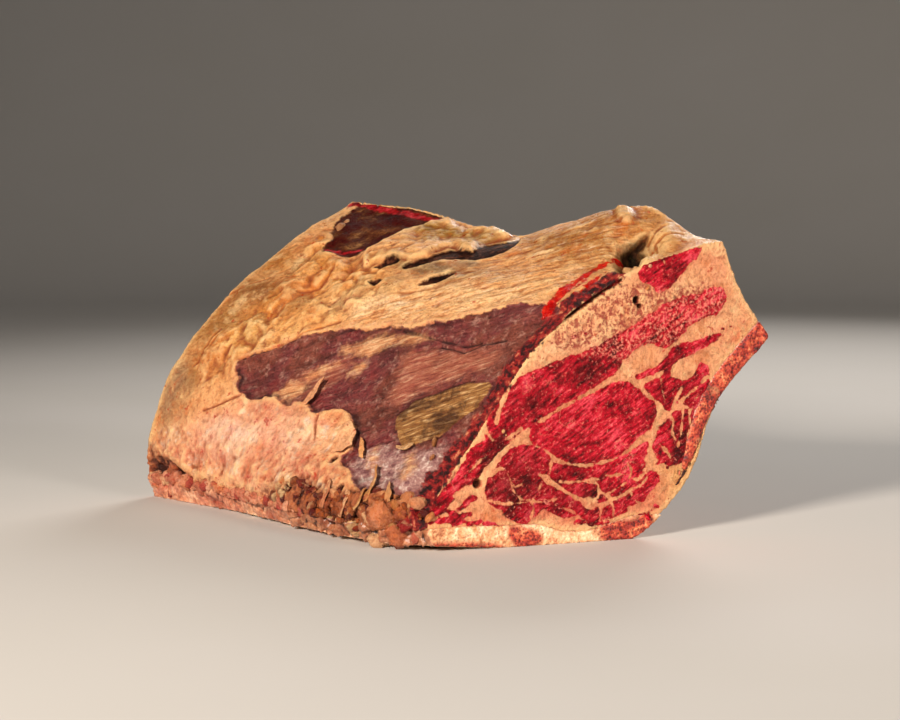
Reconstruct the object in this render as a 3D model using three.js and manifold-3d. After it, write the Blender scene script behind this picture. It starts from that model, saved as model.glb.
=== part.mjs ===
// A raw aged beef rib joint: a length of back under its fat cap, standing on the sawn spine.
// The meat, the sawn chine bone under it and the row of ribs along its inner side are separate solids.
// Millimetres, +Z up. X runs along the spine to the near cut, Y from the back's midline to the ribs.
import * as THREE from "three";
import { mergeVertices } from "three/addons/utils/BufferGeometryUtils.js";
import Module from "manifold-3d";

// Overall size
const LENGTH = 362; // far cut to near cut along the spine
const NEAR_CUT_SKEW = THREE.MathUtils.degToRad(11); // the near cut follows the slant of the ribs
const FIT_GAP = 0.3; // clearance between bone and meat

// Stations round a section as [across, height], at the far cut and at the near cut.
// The outer side starts at the heel on the saw cut, climbs over the shoulder and ends at the rib tips.
const OUTER_SIDE = [
  { far: [-28, 0], near: [6, 5] },
  { far: [-36, 26], near: [0, 25] },
  { far: [-18, 92], near: [38, 88] },
  { far: [36, 157], near: [97, 160] },
  { far: [102, 206], near: [165, 199] },
  { far: [163, 239], near: [231, 217] },
];
const RIB_ENDS = [
  { far: [163, 239], near: [231, 217] },
  { far: [176, 204], near: [245, 182] },
  { far: [200, 168], near: [269, 146] },
];
const INNER_SIDE = [
  { far: [200, 168], near: [269, 146] },
  { far: [160, 118], near: [228, 99] },
  { far: [142, 54], near: [205, 43] },
  { far: [112, 9], near: [172, 8] },
  { far: [100, 0], near: [158, 0] },
];
const BASE = [
  { far: [100, 0], near: [158, 0] },
  { far: [30, 0], near: [70, 0] },
  { far: [-28, 0], near: [6, 5] },
];

// Forms of the outer side. Behind is the distance behind the near cut, and a bell has its own length on each side.
// A crown form is at its full height near the rib tips and gone at its reach from them.
const FAT_ROLL = { behind: 74, nearLength: 58, farLength: 96, height: 20, full: 12, reach: 80 };
const SADDLE = { behind: 205, nearLength: 55, farLength: 130, height: -13, full: 12, reach: 80 };
const BELLY = { out: 18, fullBehind: 34, easeFrom: 90, easeTo: 260, fullHeight: 20, topHeight: 100 };
const POCKET = { behind: 30, across: 182, height: 212, radius: 26, depth: 20 };
const FAR_CURL = { behind: 338, across: -36, height: 24, radius: 24, depth: 9 };
// The window in the fat, whose top falls and whose bottom rises towards the far cut
const MUSCLE_WINDOW = { depth: 2.6, edge: 9, length: 282 };
const WINDOW_TOP = { height: 175, drop: 66, power: 1.4 };
const WINDOW_BOTTOM = { height: 26, rise: 68, from: 0.12, to: 0.6 };
const FAT_LUMPS = { size: 27, height: 1.7 };
const CRAGS = { size: 11, height: 2.4, fullHeight: 18, topHeight: 62 };

// Bones
const CHINE = { height: 15, waistHeight: 9, footRise: 2, swell: 1.6 }; // the sawn spine, wavy by its vertebrae
const CHINE_WAIST = { from: 0.52, to: 0.78 }; // thinner beside the spinal canal, as shares of the way from heel to foot
const RIB_COUNT = 7;
const RIB_PITCH = 53; // rib to rib along the spine
const RIB_WIDTH = 25; // along the spine
const RIB_THICKNESS = 15; // outer side to inner side
const RIB_PROUD = 2.5; // how far a rib stands out of the inner side
const NEAR_RIB_BEHIND = 4; // centre of the nearest rib behind the near cut, at its sawn end
const RIB_SWEEP = 12; // how much further back a rib lies where it meets the spine
const RIB_FOOT = 0.79; // share of the inner side that a rib runs down, to just above the chine
const RIB_END_EASE = 0.25; // share of a rib over which it turns square to the sawn rib ends

// Mesh density
const SLICES = 42;
const SLICE_CROWDING = 1.3; // above 1, slices crowd towards the near cut
const OUTER_STEPS = 46;
const END_STEPS = 8;
const INNER_STEPS = 18;
const BASE_STEPS = 8;
const RIB_SLICES = 12;
const RIB_SIDES = 10;
const CHINE_SLICES = 28;

const wasm = await Module();
wasm.setup();
const { lerp, smoothstep, clamp } = THREE.MathUtils;

// Rises from 0 to 1 and back over a distance of one length on either side of a centre
function bell(offset, nearLength, farLength = nearLength) {
  const share = clamp(Math.abs(offset) / (offset < 0 ? nearLength : farLength), 0, 1);
  return Math.cos((share * Math.PI) / 2) ** 2;
}

// Seeded noise from -1 to 1 that is smooth between the corners of a grid
function gridValue(i, j, k, seed) {
  const wave = Math.sin(i * 127.1 + j * 311.7 + k * 74.7 + seed * 53.3) * 43758.5453;
  return 2 * (wave - Math.floor(wave)) - 1;
}

function lumps({ x, y, z }, size, seed) {
  const cell = [x, y, z].map((value) => Math.floor(value / size));
  const [u, v, w] = [x, y, z].map((value, axis) => smoothstep(value / size - cell[axis], 0, 1));
  const corner = (i, j, k) => gridValue(cell[0] + i, cell[1] + j, cell[2] + k, seed);
  const edge = (j, k) => lerp(corner(0, j, k), corner(1, j, k), u);
  return lerp(lerp(edge(0, 0), edge(1, 0), v), lerp(edge(0, 1), edge(1, 1), v), w);
}

// Distance along the spine from the near cut, at a given place across
const lengthAt = (across) => LENGTH + across * Math.tan(NEAR_CUT_SKEW);
const alongAt = (behind, across) => across * Math.tan(NEAR_CUT_SKEW) - behind;

// A side of the section at a share t of the way from the far cut to the near cut
function sideAt(stations, t) {
  const points = stations.map(
    ({ far, near }) => new THREE.Vector3(0, lerp(far[0], near[0], t), lerp(far[1], near[1], t)),
  );
  return new THREE.CatmullRomCurve3(points, false, "centripetal");
}

// The rib tips rise in a thick roll of fat by the near cut and sink in a saddle behind it
function crownLift(behind, fromTips) {
  return [FAT_ROLL, SADDLE].reduce((lift, form) => {
    const along = bell(behind - form.behind, form.nearLength, form.farLength);
    return lift + form.height * along * (1 - smoothstep(fromTips, form.full, form.reach));
  }, 0);
}

// The lower outer side swells between the cuts
function bellyOut(behind, height) {
  const along = smoothstep(behind, 0, BELLY.fullBehind) * (1 - smoothstep(behind, BELLY.easeFrom, BELLY.easeTo));
  return BELLY.out * along * (1 - smoothstep(height, BELLY.fullHeight, BELLY.topHeight));
}

// A window in the fat where the dried muscle lies a step lower
function windowDepth(behind, height) {
  const share = clamp(behind / MUSCLE_WINDOW.length, 0, 1);
  const top = WINDOW_TOP.height - WINDOW_TOP.drop * share ** WINDOW_TOP.power;
  const bottom = WINDOW_BOTTOM.height + WINDOW_BOTTOM.rise * smoothstep(share, WINDOW_BOTTOM.from, WINDOW_BOTTOM.to);
  const inside = Math.min(top - height, height - bottom, MUSCLE_WINDOW.length - behind);
  return MUSCLE_WINDOW.depth * smoothstep(inside, 0, MUSCLE_WINDOW.edge);
}

// A round dent such as the pocket under the fat roll
function dentDepth(dent, behind, { y, z }) {
  const away = Math.hypot(behind - dent.behind, y - dent.across, z - dent.height);
  return dent.depth * bell(away, dent.radius);
}

// How far a point of the outer side moves out from the plain loft
function outerRelief(point, behind) {
  const crumbly = 1 - smoothstep(point.z, CRAGS.fullHeight, CRAGS.topHeight);
  return (
    FAT_LUMPS.height * lumps(point, FAT_LUMPS.size, 1) +
    CRAGS.height * crumbly * lumps(point, CRAGS.size, 2) -
    windowDepth(behind, point.z) -
    dentDepth(POCKET, behind, point) -
    dentDepth(FAR_CURL, behind, point)
  );
}

// One closed section of the joint, from the heel over the outer side, down the rib ends and inner side, and back
function sectionAt(t) {
  const sides = [
    [OUTER_SIDE, OUTER_STEPS],
    [RIB_ENDS, END_STEPS],
    [INNER_SIDE, INNER_STEPS],
    [BASE, BASE_STEPS],
  ];
  const plain = sides.flatMap(([stations, steps]) => sideAt(stations, t).getSpacedPoints(steps).slice(0, -1));
  const tips = plain[OUTER_STEPS];
  return plain.map((point, i) => {
    const behind = (1 - t) * lengthAt(point.y);
    const [before, after] = [plain.at(i - 1), plain[(i + 1) % plain.length]];
    const outward = new THREE.Vector3(0, before.z - after.z, after.y - before.y).normalize();
    const moved = point.clone().setX(alongAt(behind, point.y));
    const onOuter = i > 0 && i < OUTER_STEPS;
    if (onOuter) moved.addScaledVector(outward, outerRelief(moved, behind));
    if (i <= OUTER_STEPS) moved.y -= bellyOut(behind, point.z);
    moved.z += crownLift(behind, point.distanceTo(tips));
    moved.z = Math.max(moved.z, 0);
    return moved;
  });
}

// A closed skin over a row of rings of equal length, with a fan of triangles on each end
function loftGeometry(rings) {
  const count = rings[0].length;
  const last = rings.length - 1;
  const centres = [rings[0], rings[last]].map((ring) =>
    ring.reduce((sum, point) => sum.add(point), new THREE.Vector3()).divideScalar(count),
  );
  const positions = [...rings.flat(), ...centres].flatMap((point) => point.toArray());
  const [firstCentre, lastCentre] = [rings.length * count, rings.length * count + 1];
  const index = [];
  for (let i = 0; i < count; i += 1) {
    const j = (i + 1) % count;
    for (let ring = 0; ring < last; ring += 1) {
      const [here, next] = [ring * count, (ring + 1) * count];
      index.push(here + i, next + i, here + j, here + j, next + i, next + j);
    }
    index.push(firstCentre, i, j, lastCentre, last * count + j, last * count + i);
  }
  return new THREE.BufferGeometry()
    .setAttribute("position", new THREE.Float32BufferAttribute(positions, 3))
    .setIndex(index);
}

// Whole joint, bones included
function jointGeometry() {
  const rings = [];
  for (let slice = 0; slice <= SLICES; slice += 1) {
    rings.push(sectionAt(1 - (1 - slice / SLICES) ** SLICE_CROWDING));
  }
  return loftGeometry(rings);
}

// Everything up to the top of the sawn spine, raised by a margin, reaching out past the joint on every other side
function chineRegionGeometry(margin) {
  const past = 4 * CHINE.height;
  const rings = [];
  for (let slice = 0; slice <= CHINE_SLICES; slice += 1) {
    const x = lerp(-LENGTH - past, 2 * past, slice / CHINE_SLICES);
    const t = clamp((x + LENGTH) / LENGTH, 0, 1);
    const [heel, foot] = [OUTER_SIDE[0], INNER_SIDE.at(-1)].map(({ far, near }) => lerp(far[0], near[0], t));
    const raised = margin + CHINE.swell * Math.cos((2 * Math.PI * x) / RIB_PITCH);
    const profile = [
      [heel - past, -past],
      [heel - past, CHINE.height + raised],
      [lerp(heel, foot, CHINE_WAIST.from), CHINE.height + raised],
      [lerp(heel, foot, (CHINE_WAIST.from + CHINE_WAIST.to) / 2), CHINE.waistHeight + raised],
      [lerp(heel, foot, CHINE_WAIST.to), CHINE.waistHeight + raised],
      [foot, CHINE.height + CHINE.footRise + raised],
      [foot + past, CHINE.height + CHINE.footRise + raised],
      [foot + past, -past],
    ];
    rings.push(profile.map(([y, z]) => new THREE.Vector3(x, y, z)));
  }
  return loftGeometry(rings);
}

// One rib: a flattened bar that follows the inner side from the sawn rib ends down towards the spine.
// The space cut for it is larger by a margin and runs out past the rib ends.
function ribGeometry(order, margin, overhang) {
  const rings = [];
  for (let slice = 0; slice <= RIB_SLICES; slice += 1) {
    const down = slice / RIB_SLICES;
    const behind = NEAR_RIB_BEHIND + order * RIB_PITCH + RIB_SWEEP * down;
    const { y: across } = sideAt(INNER_SIDE, 1 - behind / LENGTH).getPointAt(RIB_FOOT * down);
    const t = 1 - behind / lengthAt(across);
    const inner = sideAt(INNER_SIDE, t);
    const skin = inner.getPointAt(RIB_FOOT * down);
    const tangent = inner.getTangentAt(RIB_FOOT * down);
    const alongEnd = sideAt(RIB_ENDS, t).getTangentAt(1).negate();
    const intoMeat = new THREE.Vector3(0, tangent.z, -tangent.y)
      .lerp(alongEnd, 1 - smoothstep(down, 0, RIB_END_EASE))
      .normalize();
    const centre = skin
      .setX(alongAt(behind, skin.y))
      .addScaledVector(intoMeat, RIB_THICKNESS / 2 - RIB_PROUD)
      .addScaledVector(tangent, slice === RIB_SLICES ? margin : 0);
    const ring = [];
    for (let side = 0; side < RIB_SIDES; side += 1) {
      const angle = (2 * Math.PI * side) / RIB_SIDES;
      const deep = (RIB_THICKNESS / 2 + margin) * Math.cos(angle);
      const wide = (RIB_WIDTH / 2 + margin) * Math.sin(angle);
      ring.push(centre.clone().addScaledVector(intoMeat, deep).setX(centre.x + wide));
    }
    rings.push(ring);
    if (slice === 0 && overhang > 0) {
      rings.unshift(ring.map((point) => point.clone().addScaledVector(tangent, -overhang)));
    }
  }
  return loftGeometry(rings);
}

// Everything on the meat's side of the near cut
function nearCutGeometry() {
  const size = 4 * LENGTH;
  return new THREE.BoxGeometry(size, size, size).translate(-size / 2, 0, 0).rotateZ(-NEAR_CUT_SKEW);
}

// Joins and cuts work on closed solids, whichever way round the skin was laid
function solidOf(geometry) {
  geometry.deleteAttribute("normal");
  geometry.deleteAttribute("uv");
  const merged = mergeVertices(geometry);
  const triVerts = new Uint32Array(merged.index.array);
  const vertProperties = new Float32Array(merged.attributes.position.array);
  const solid = new wasm.Manifold(new wasm.Mesh({ numProp: 3, vertProperties, triVerts }));
  if (solid.volume() > 0) return solid;
  return new wasm.Manifold(new wasm.Mesh({ numProp: 3, vertProperties, triVerts: triVerts.reverse() }));
}

function geometryOf(solid) {
  const { vertProperties, triVerts } = solid.getMesh();
  const geometry = new THREE.BufferGeometry()
    .setAttribute("position", new THREE.BufferAttribute(vertProperties, 3))
    .setIndex(new THREE.BufferAttribute(triVerts, 1));
  geometry.computeVertexNormals();
  return geometry;
}

function piece(name, solid, material) {
  const mesh = new THREE.Mesh(geometryOf(solid), material);
  mesh.name = name;
  return mesh;
}

const rawMeat = new THREE.MeshStandardMaterial({ color: 0xb5604a, roughness: 0.45, metalness: 0 });
const sawnBone = new THREE.MeshStandardMaterial({ color: 0xe3bd8c, roughness: 0.6, metalness: 0 });
const ribBone = new THREE.MeshStandardMaterial({ color: 0xc98f74, roughness: 0.5, metalness: 0 });

const whole = solidOf(jointGeometry());
const nearCut = solidOf(nearCutGeometry());
const ribs = [...Array(RIB_COUNT).keys()];
const ribSpaces = ribs.map((order) => solidOf(ribGeometry(order, FIT_GAP, RIB_THICKNESS)));
const meat = ribSpaces.reduce(
  (left, space) => left.subtract(space),
  whole.subtract(solidOf(chineRegionGeometry(FIT_GAP))),
);

const pieces = new THREE.Group();
pieces.add(piece("meat", meat, rawMeat));
pieces.add(piece("chine_bone", whole.intersect(solidOf(chineRegionGeometry(0))), sawnBone));
for (const order of ribs) {
  const rib = solidOf(ribGeometry(order, 0, 0)).intersect(nearCut);
  pieces.add(piece(`rib_${order + 1}`, rib, ribBone));
}

// The origin is under the middle of the joint, on the surface it stands on
const extent = new THREE.Box3().setFromObject(pieces);
const middle = extent.getCenter(new THREE.Vector3());
pieces.position.set(-middle.x, -middle.y, -extent.min.z);

const joint = new THREE.Group();
joint.add(pieces);
export default joint;
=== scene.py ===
# %% [markdown]
# A raw beef rib joint that has hung to age, standing on its sawn spine. The CAD solids give the form and
# the size. This lesson adds what the eye reads on real beef: craggy fat, a window of dried muscle, a
# fresh marbled cut, spongy bone and thin wet membranes. The solids arrive first.

import itertools
import math

import bmesh
import bpy
import numpy as np
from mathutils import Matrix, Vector
from mathutils.bvhtree import BVHTree


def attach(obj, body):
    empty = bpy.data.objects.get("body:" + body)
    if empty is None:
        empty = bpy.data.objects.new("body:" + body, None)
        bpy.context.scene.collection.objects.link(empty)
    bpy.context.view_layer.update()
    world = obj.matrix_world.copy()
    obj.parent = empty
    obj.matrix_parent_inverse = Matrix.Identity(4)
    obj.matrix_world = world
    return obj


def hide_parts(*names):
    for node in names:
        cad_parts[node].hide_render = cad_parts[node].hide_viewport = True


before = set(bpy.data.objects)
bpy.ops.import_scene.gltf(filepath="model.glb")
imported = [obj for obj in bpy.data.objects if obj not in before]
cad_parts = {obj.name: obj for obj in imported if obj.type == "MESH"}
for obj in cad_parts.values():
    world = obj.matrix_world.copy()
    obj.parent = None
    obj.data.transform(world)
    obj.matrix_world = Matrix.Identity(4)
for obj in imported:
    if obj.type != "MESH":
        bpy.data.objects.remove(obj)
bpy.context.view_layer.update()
MM = 0.001
print("nodes:", ", ".join(sorted(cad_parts)))

# %% [markdown]
# The camera comes first, because many marks on the meat are placed where the photograph shows them. It
# could be found by eye in the viewport. Here a few values hold it: the direction it looks in, the point
# it aims at, how far from that it stands, and its lens. A long lens from nearly two metres keeps near and
# far parts close in size.

# %% Camera
AZIMUTH = math.radians(56)
ELEVATION = math.radians(5)
DISTANCE = 1765
AIM = np.array([153.8, -97.6, 135.7])
LENS = 100
SENSOR = 36
PHOTO_WIDTH, PHOTO_HEIGHT = 900, 720

look = np.array([
    -math.sin(AZIMUTH) * math.cos(ELEVATION),
    math.cos(AZIMUTH) * math.cos(ELEVATION),
    -math.sin(ELEVATION),
])
right = np.array([math.cos(AZIMUTH), math.sin(AZIMUTH), 0])
upward = np.cross(right, look)
eye_point = AIM - DISTANCE * look


def in_scene(name, data):
    """A new object in the scene that holds a mesh, a lamp or a camera."""
    thing = bpy.data.objects.new(name, data)
    bpy.context.scene.collection.objects.link(thing)
    return thing


camera_data = bpy.data.cameras.new("camera")
camera_data.lens = LENS
camera_data.sensor_width = SENSOR
camera = in_scene("camera", camera_data)
camera.location = Vector(eye_point * MM)
camera.rotation_euler = Vector(look).to_track_quat("-Z", "Y").to_euler()
bpy.context.scene.camera = camera


def sight_line(px, py):
    """Direction from the camera through a point of the photograph, in pixels from its top left."""
    pixel = SENSOR / LENS / PHOTO_WIDTH
    line = look + right * (px - PHOTO_WIDTH / 2) * pixel - upward * (py - PHOTO_HEIGHT / 2) * pixel
    return line / np.linalg.norm(line)


print("camera stands at", np.round(eye_point), "mm")

# %% [markdown]
# Meat has no straight edge and no even patch, so most steps here lean on noise. Blender has a noise
# module, but it answers one point at a time. These two functions answer whole arrays. The first is soft
# and cloudy, for lumps. The second measures how far a point is from the nearest of many scattered seeds,
# which gives packed grains such as the lobes of hard fat. Both are seeded by place, so every run is
# alike.

# %% Noise over arrays of points
def scatter(cell, seed):
    """A repeatable number from 0 to 1 for each whole-number cell: large odd numbers stir its bits."""
    mixed = cell[:, 0] * 73856093 ^ cell[:, 1] * 19349663 ^ cell[:, 2] * 83492791 ^ (seed * 2654435761)
    mixed = (mixed ^ (mixed >> 13)) * 1274126177 & 0xFFFFFFFF
    mixed = (mixed ^ (mixed >> 15)) * 2246822519 & 0xFFFFFFFF
    return ((mixed ^ (mixed >> 16)) & 0xFFFFFF) / float(0xFFFFFF)


OCTAVE_SHIFT = 7.31  # moves each finer layer aside, so that the layers' grids don't line up


def cloud(points, size, seed, octaves=1):
    """Soft noise from about -1 to 1 with lumps of that size in millimetres."""
    total, weight = np.zeros(len(points)), 0.0
    for octave in range(octaves):
        grid = points * (2**octave / size) + OCTAVE_SHIFT * octave
        cell = np.floor(grid).astype(np.int64)
        part = grid - cell
        part = part * part * (3 - 2 * part)
        layer = np.zeros(len(points))
        for corner in itertools.product((0, 1), repeat=3):
            share = np.prod(np.where(corner, part, 1 - part), axis=1)
            layer += share * scatter(cell + corner, seed + octave)
        total += (2 * layer - 1) * 0.5**octave
        weight += 0.5**octave
    return total / weight


def grains(points, size, seed):
    """Distance to the nearest scattered seed, 0 to about 1, and a number for each seed's grain."""
    grid = points / size
    cell = np.floor(grid).astype(np.int64)
    best, number = np.full(len(points), 9.0), np.zeros(len(points))
    for offset in itertools.product((-1, 0, 1), repeat=3):
        near = cell + offset
        seeds = near + np.stack([scatter(near, seed + axis) for axis in range(3)], axis=1)
        distance = ((grid - seeds) ** 2).sum(axis=1)
        closer = distance < best
        best = np.where(closer, distance, best)
        number = np.where(closer, scatter(near, seed + 3), number)
    return np.sqrt(best), number


def ease(value, low, high):
    """0 below low, 1 above high, and a smooth rise between."""
    share = np.clip((value - low) / (high - low), 0, 1)
    return share * share * (3 - 2 * share)


print("noise sample:", np.round(cloud(np.array([[1.0, 2.0, 3.0]]), 10, 1), 3))

# %% [markdown]
# The CAD meat has a few thousand flat faces, enough for weight and contact but not for flesh. Subdivision
# would keep its long thin triangles. A voxel remesh gives even little squares all over instead, about a
# millimetre each, and a light smoothing takes the steps out of them. The CAD mesh itself isn't touched: a
# copy is remeshed.

# %% Dense copies of the solids
MEAT_VOXEL = 1.15
BONE_VOXEL = 1.0
MEAT_SMOOTHING, BONE_SMOOTHING = 3, 2


def dense_copy(node, name, voxel, smoothing):
    """A remeshed, smoothed copy of a CAD node as a new mesh object."""
    solid = bmesh.new()
    solid.from_mesh(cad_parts[node].data)
    bmesh.ops.remove_doubles(solid, verts=solid.verts, dist=0.01 * MM)
    mesh = bpy.data.meshes.new(name)
    solid.to_mesh(mesh)
    solid.free()
    piece = in_scene(name, mesh)
    remesh = piece.modifiers.new("even_squares", "REMESH")
    remesh.mode = "VOXEL"
    remesh.voxel_size = voxel * MM
    smooth = piece.modifiers.new("take_out_steps", "SMOOTH")
    smooth.factor = 0.5
    smooth.iterations = smoothing
    return settle(piece)


def settle(piece):
    """Applies a piece's modifiers to its mesh."""
    graph = bpy.context.evaluated_depsgraph_get()
    mesh = bpy.data.meshes.new_from_object(piece.evaluated_get(graph))
    old = piece.data
    piece.modifiers.clear()
    piece.data = mesh
    bpy.data.meshes.remove(old)
    mesh.name = piece.name
    return piece


def points_of(piece):
    """The piece's points in millimetres."""
    flat = np.empty(len(piece.data.vertices) * 3)
    piece.data.vertices.foreach_get("co", flat)
    return flat.reshape(-1, 3) / MM


def normals_of(piece):
    """The way out of the piece at each of its points."""
    flat = np.empty(len(piece.data.vertices) * 3, np.float32)
    piece.data.vertex_normals.foreach_get("vector", flat)
    return flat.reshape(-1, 3).astype(float)


def move_points(piece, points):
    """Puts the piece's points at new places, given in millimetres."""
    piece.data.vertices.foreach_set("co", (points * MM).ravel())
    piece.data.update()


meat = dense_copy("meat", "beef", MEAT_VOXEL, MEAT_SMOOTHING)
print("meat:", len(meat.data.vertices), "points")

# %% [markdown]
# To draw on the meat, each point gets places that a butcher would use. On the near cut they are how far
# along and how high. On the outer side they are how far behind the near cut, and how far up the side. The
# near cut is a plane with a slight skew, so its direction is enough to find it on the solid.

# %% Places on the meat
CUT_SKEW = math.radians(11)
cut_out = np.array([math.cos(CUT_SKEW), -math.sin(CUT_SKEW), 0])
cut_along = np.array([math.sin(CUT_SKEW), math.cos(CUT_SKEW), 0])

rest_points = points_of(meat)
rest_normals = normals_of(meat)
cut_depth = (rest_points @ cut_out).max() - 0.2
far_end = rest_points[:, 0].min() + 0.2
SIDE_LEAN = 0.6  # the outer side leans back, so going up it also goes across
SIDE_STRETCH = 1.1


def behind_cut(points):
    """How far behind the near cut."""
    return cut_depth - points @ cut_out


def on_cut(points):
    """Along the near cut and up it."""
    return np.stack([points @ cut_along, points[:, 2]], axis=1)


def on_side(points):
    """Behind the near cut, and up the outer side."""
    up = (points[:, 2] + SIDE_LEAN * points[:, 1]) / SIDE_STRETCH
    return np.stack([behind_cut(points), up], axis=1)


CUT_SKIN = 2.2  # points this near a cut's plane belong to it
FACES_CUT = 0.45  # and they face within about 60 degrees of it
BASE_HEIGHT = 26
FACES_DOWN = -0.75
OUTER_FROM, OUTER_TO, ENDS_FROM = 68, -98, 3  # degrees that a face turns up from level at the rib side
behind = behind_cut(rest_points)
facing = np.degrees(np.arctan2(rest_normals[:, 2], rest_normals[:, 1]))
near_cut = (behind < CUT_SKIN) & (rest_normals @ cut_out > FACES_CUT)
far_cut = (rest_points[:, 0] - far_end < CUT_SKIN) & (rest_normals[:, 0] < -FACES_CUT)
under = (rest_points[:, 2] < BASE_HEIGHT) & (rest_normals[:, 2] < FACES_DOWN) & ~near_cut & ~far_cut
along_side = ~near_cut & ~far_cut & ~under
outer = ((facing > OUTER_FROM) | (facing < OUTER_TO)) & along_side
rib_ends = (facing <= OUTER_FROM) & (facing > ENDS_FROM) & along_side
inner = ~(outer | rib_ends | near_cut | far_cut | under)
parts = dict(near_cut=near_cut, far_cut=far_cut, outer=outer, rib_ends=rib_ends, inner=inner, under=under)
for name, part in parts.items():
    print(f"{name}: {part.sum()} points")

# %% [markdown]
# Marks on the meat are drawn as outlines. Each is a ring of places given in the photograph, and the sight
# lines through them are followed to the near cut or to the outer side, so the ring lies on the meat itself.
# A stamp or a painted image could carry the marks too, but rings stay sharp at any size. Every point of
# the meat then gets its distance to a ring in millimetres, positive inside.

# %% Outlines and distances
solids = bpy.context.evaluated_depsgraph_get()
skins = [BVHTree.FromObject(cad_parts[node], solids) for node in ("meat", "chine_bone")]


def cut_ring(*places):
    """Places in the photograph as points along and up the near cut."""
    ring = []
    for px, py in places:
        line = sight_line(px, py)
        reach = (cut_depth - eye_point @ cut_out) / (line @ cut_out)
        ring.append(eye_point + reach * line)
    return on_cut(np.array(ring))


SEARCH = range(-200, 260, 5)  # millimetres before and behind the point that the camera aims at


def side_point(px, py):
    """The point of the joint behind a place in the photograph, or the nearest to a line that misses it."""
    line = sight_line(px, py)
    found = [skin.ray_cast(Vector(eye_point * MM), Vector(line)) for skin in skins]
    found = [hit for hit in found if hit[0] is not None]
    if not found:
        steps = [Vector((eye_point + line * (DISTANCE + step)) * MM) for step in SEARCH]
        found = [skin.find_nearest(step) for step in steps for skin in skins]
    return np.array(min(found, key=lambda hit: hit[3])[0]) / MM


def side_ring(*places):
    """Places in the photograph as points behind the near cut and up the outer side."""
    return on_side(np.array([side_point(px, py) for px, py in places]))


def rounded(ring, turns=2):
    """The ring with its corners cut, so that the listed places join smoothly."""
    for _ in range(turns):
        after = np.roll(ring, -1, axis=0)
        ring = np.stack([0.75 * ring + 0.25 * after, 0.25 * ring + 0.75 * after], axis=1).reshape(-1, 2)
    return ring


def away_from(places, start, end):
    """Distance of many places to one straight stretch."""
    stretch = end - start
    share = np.clip((places - start) @ stretch / (stretch @ stretch + 1e-9), 0, 1)
    return np.linalg.norm(places - start - share[:, None] * stretch, axis=1)


def inside(places, ring, turns=2):
    """Distance to a rounded ring: positive inside it, negative outside."""
    ring = rounded(ring, turns)
    best = np.full(len(places), 1e9)
    within = np.zeros(len(places), bool)
    for start, end in zip(ring, np.roll(ring, -1, axis=0)):
        best = np.minimum(best, away_from(places, start, end))
        crosses = (start[1] > places[:, 1]) != (end[1] > places[:, 1])
        level = start[0] + (places[:, 1] - start[1]) * (end[0] - start[0]) / (end[1] - start[1] + 1e-12)
        within ^= crosses & (places[:, 0] < level)
    return np.where(within, best, -best)


def from_line(places, line):
    """Distance to an open line of several stretches."""
    return np.min([away_from(places, a, b) for a, b in zip(line[:-1], line[1:])], axis=0)


def in_spots(places, spots, ring_of):
    """Distance inside the nearest of several round marks, each a place and a radius."""
    depths = [size - np.linalg.norm(places - ring_of(place)[0], axis=1) for place, size in spots]
    return np.max(depths, axis=0)


OUTSIDE = -60.0


def field(part, values):
    """A value for every point of the meat: values on one part of it, and far outside elsewhere."""
    whole = np.full(len(rest_points), OUTSIDE)
    whole[part] = values
    return whole


# %% [markdown]
# The near cut shows a rib eye: the large eye muscle, the cap muscle curled over it, small muscles against
# the spine, flat ones by the ribs, and layers of lean and fat towards the rib ends. Lean is one field:
# the distance inside whichever muscle a point lies in. Seams of fat are then cut through the lean as
# lines with a width, because most seams are far thinner than the muscles and a ring round each would be
# long work.

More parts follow.
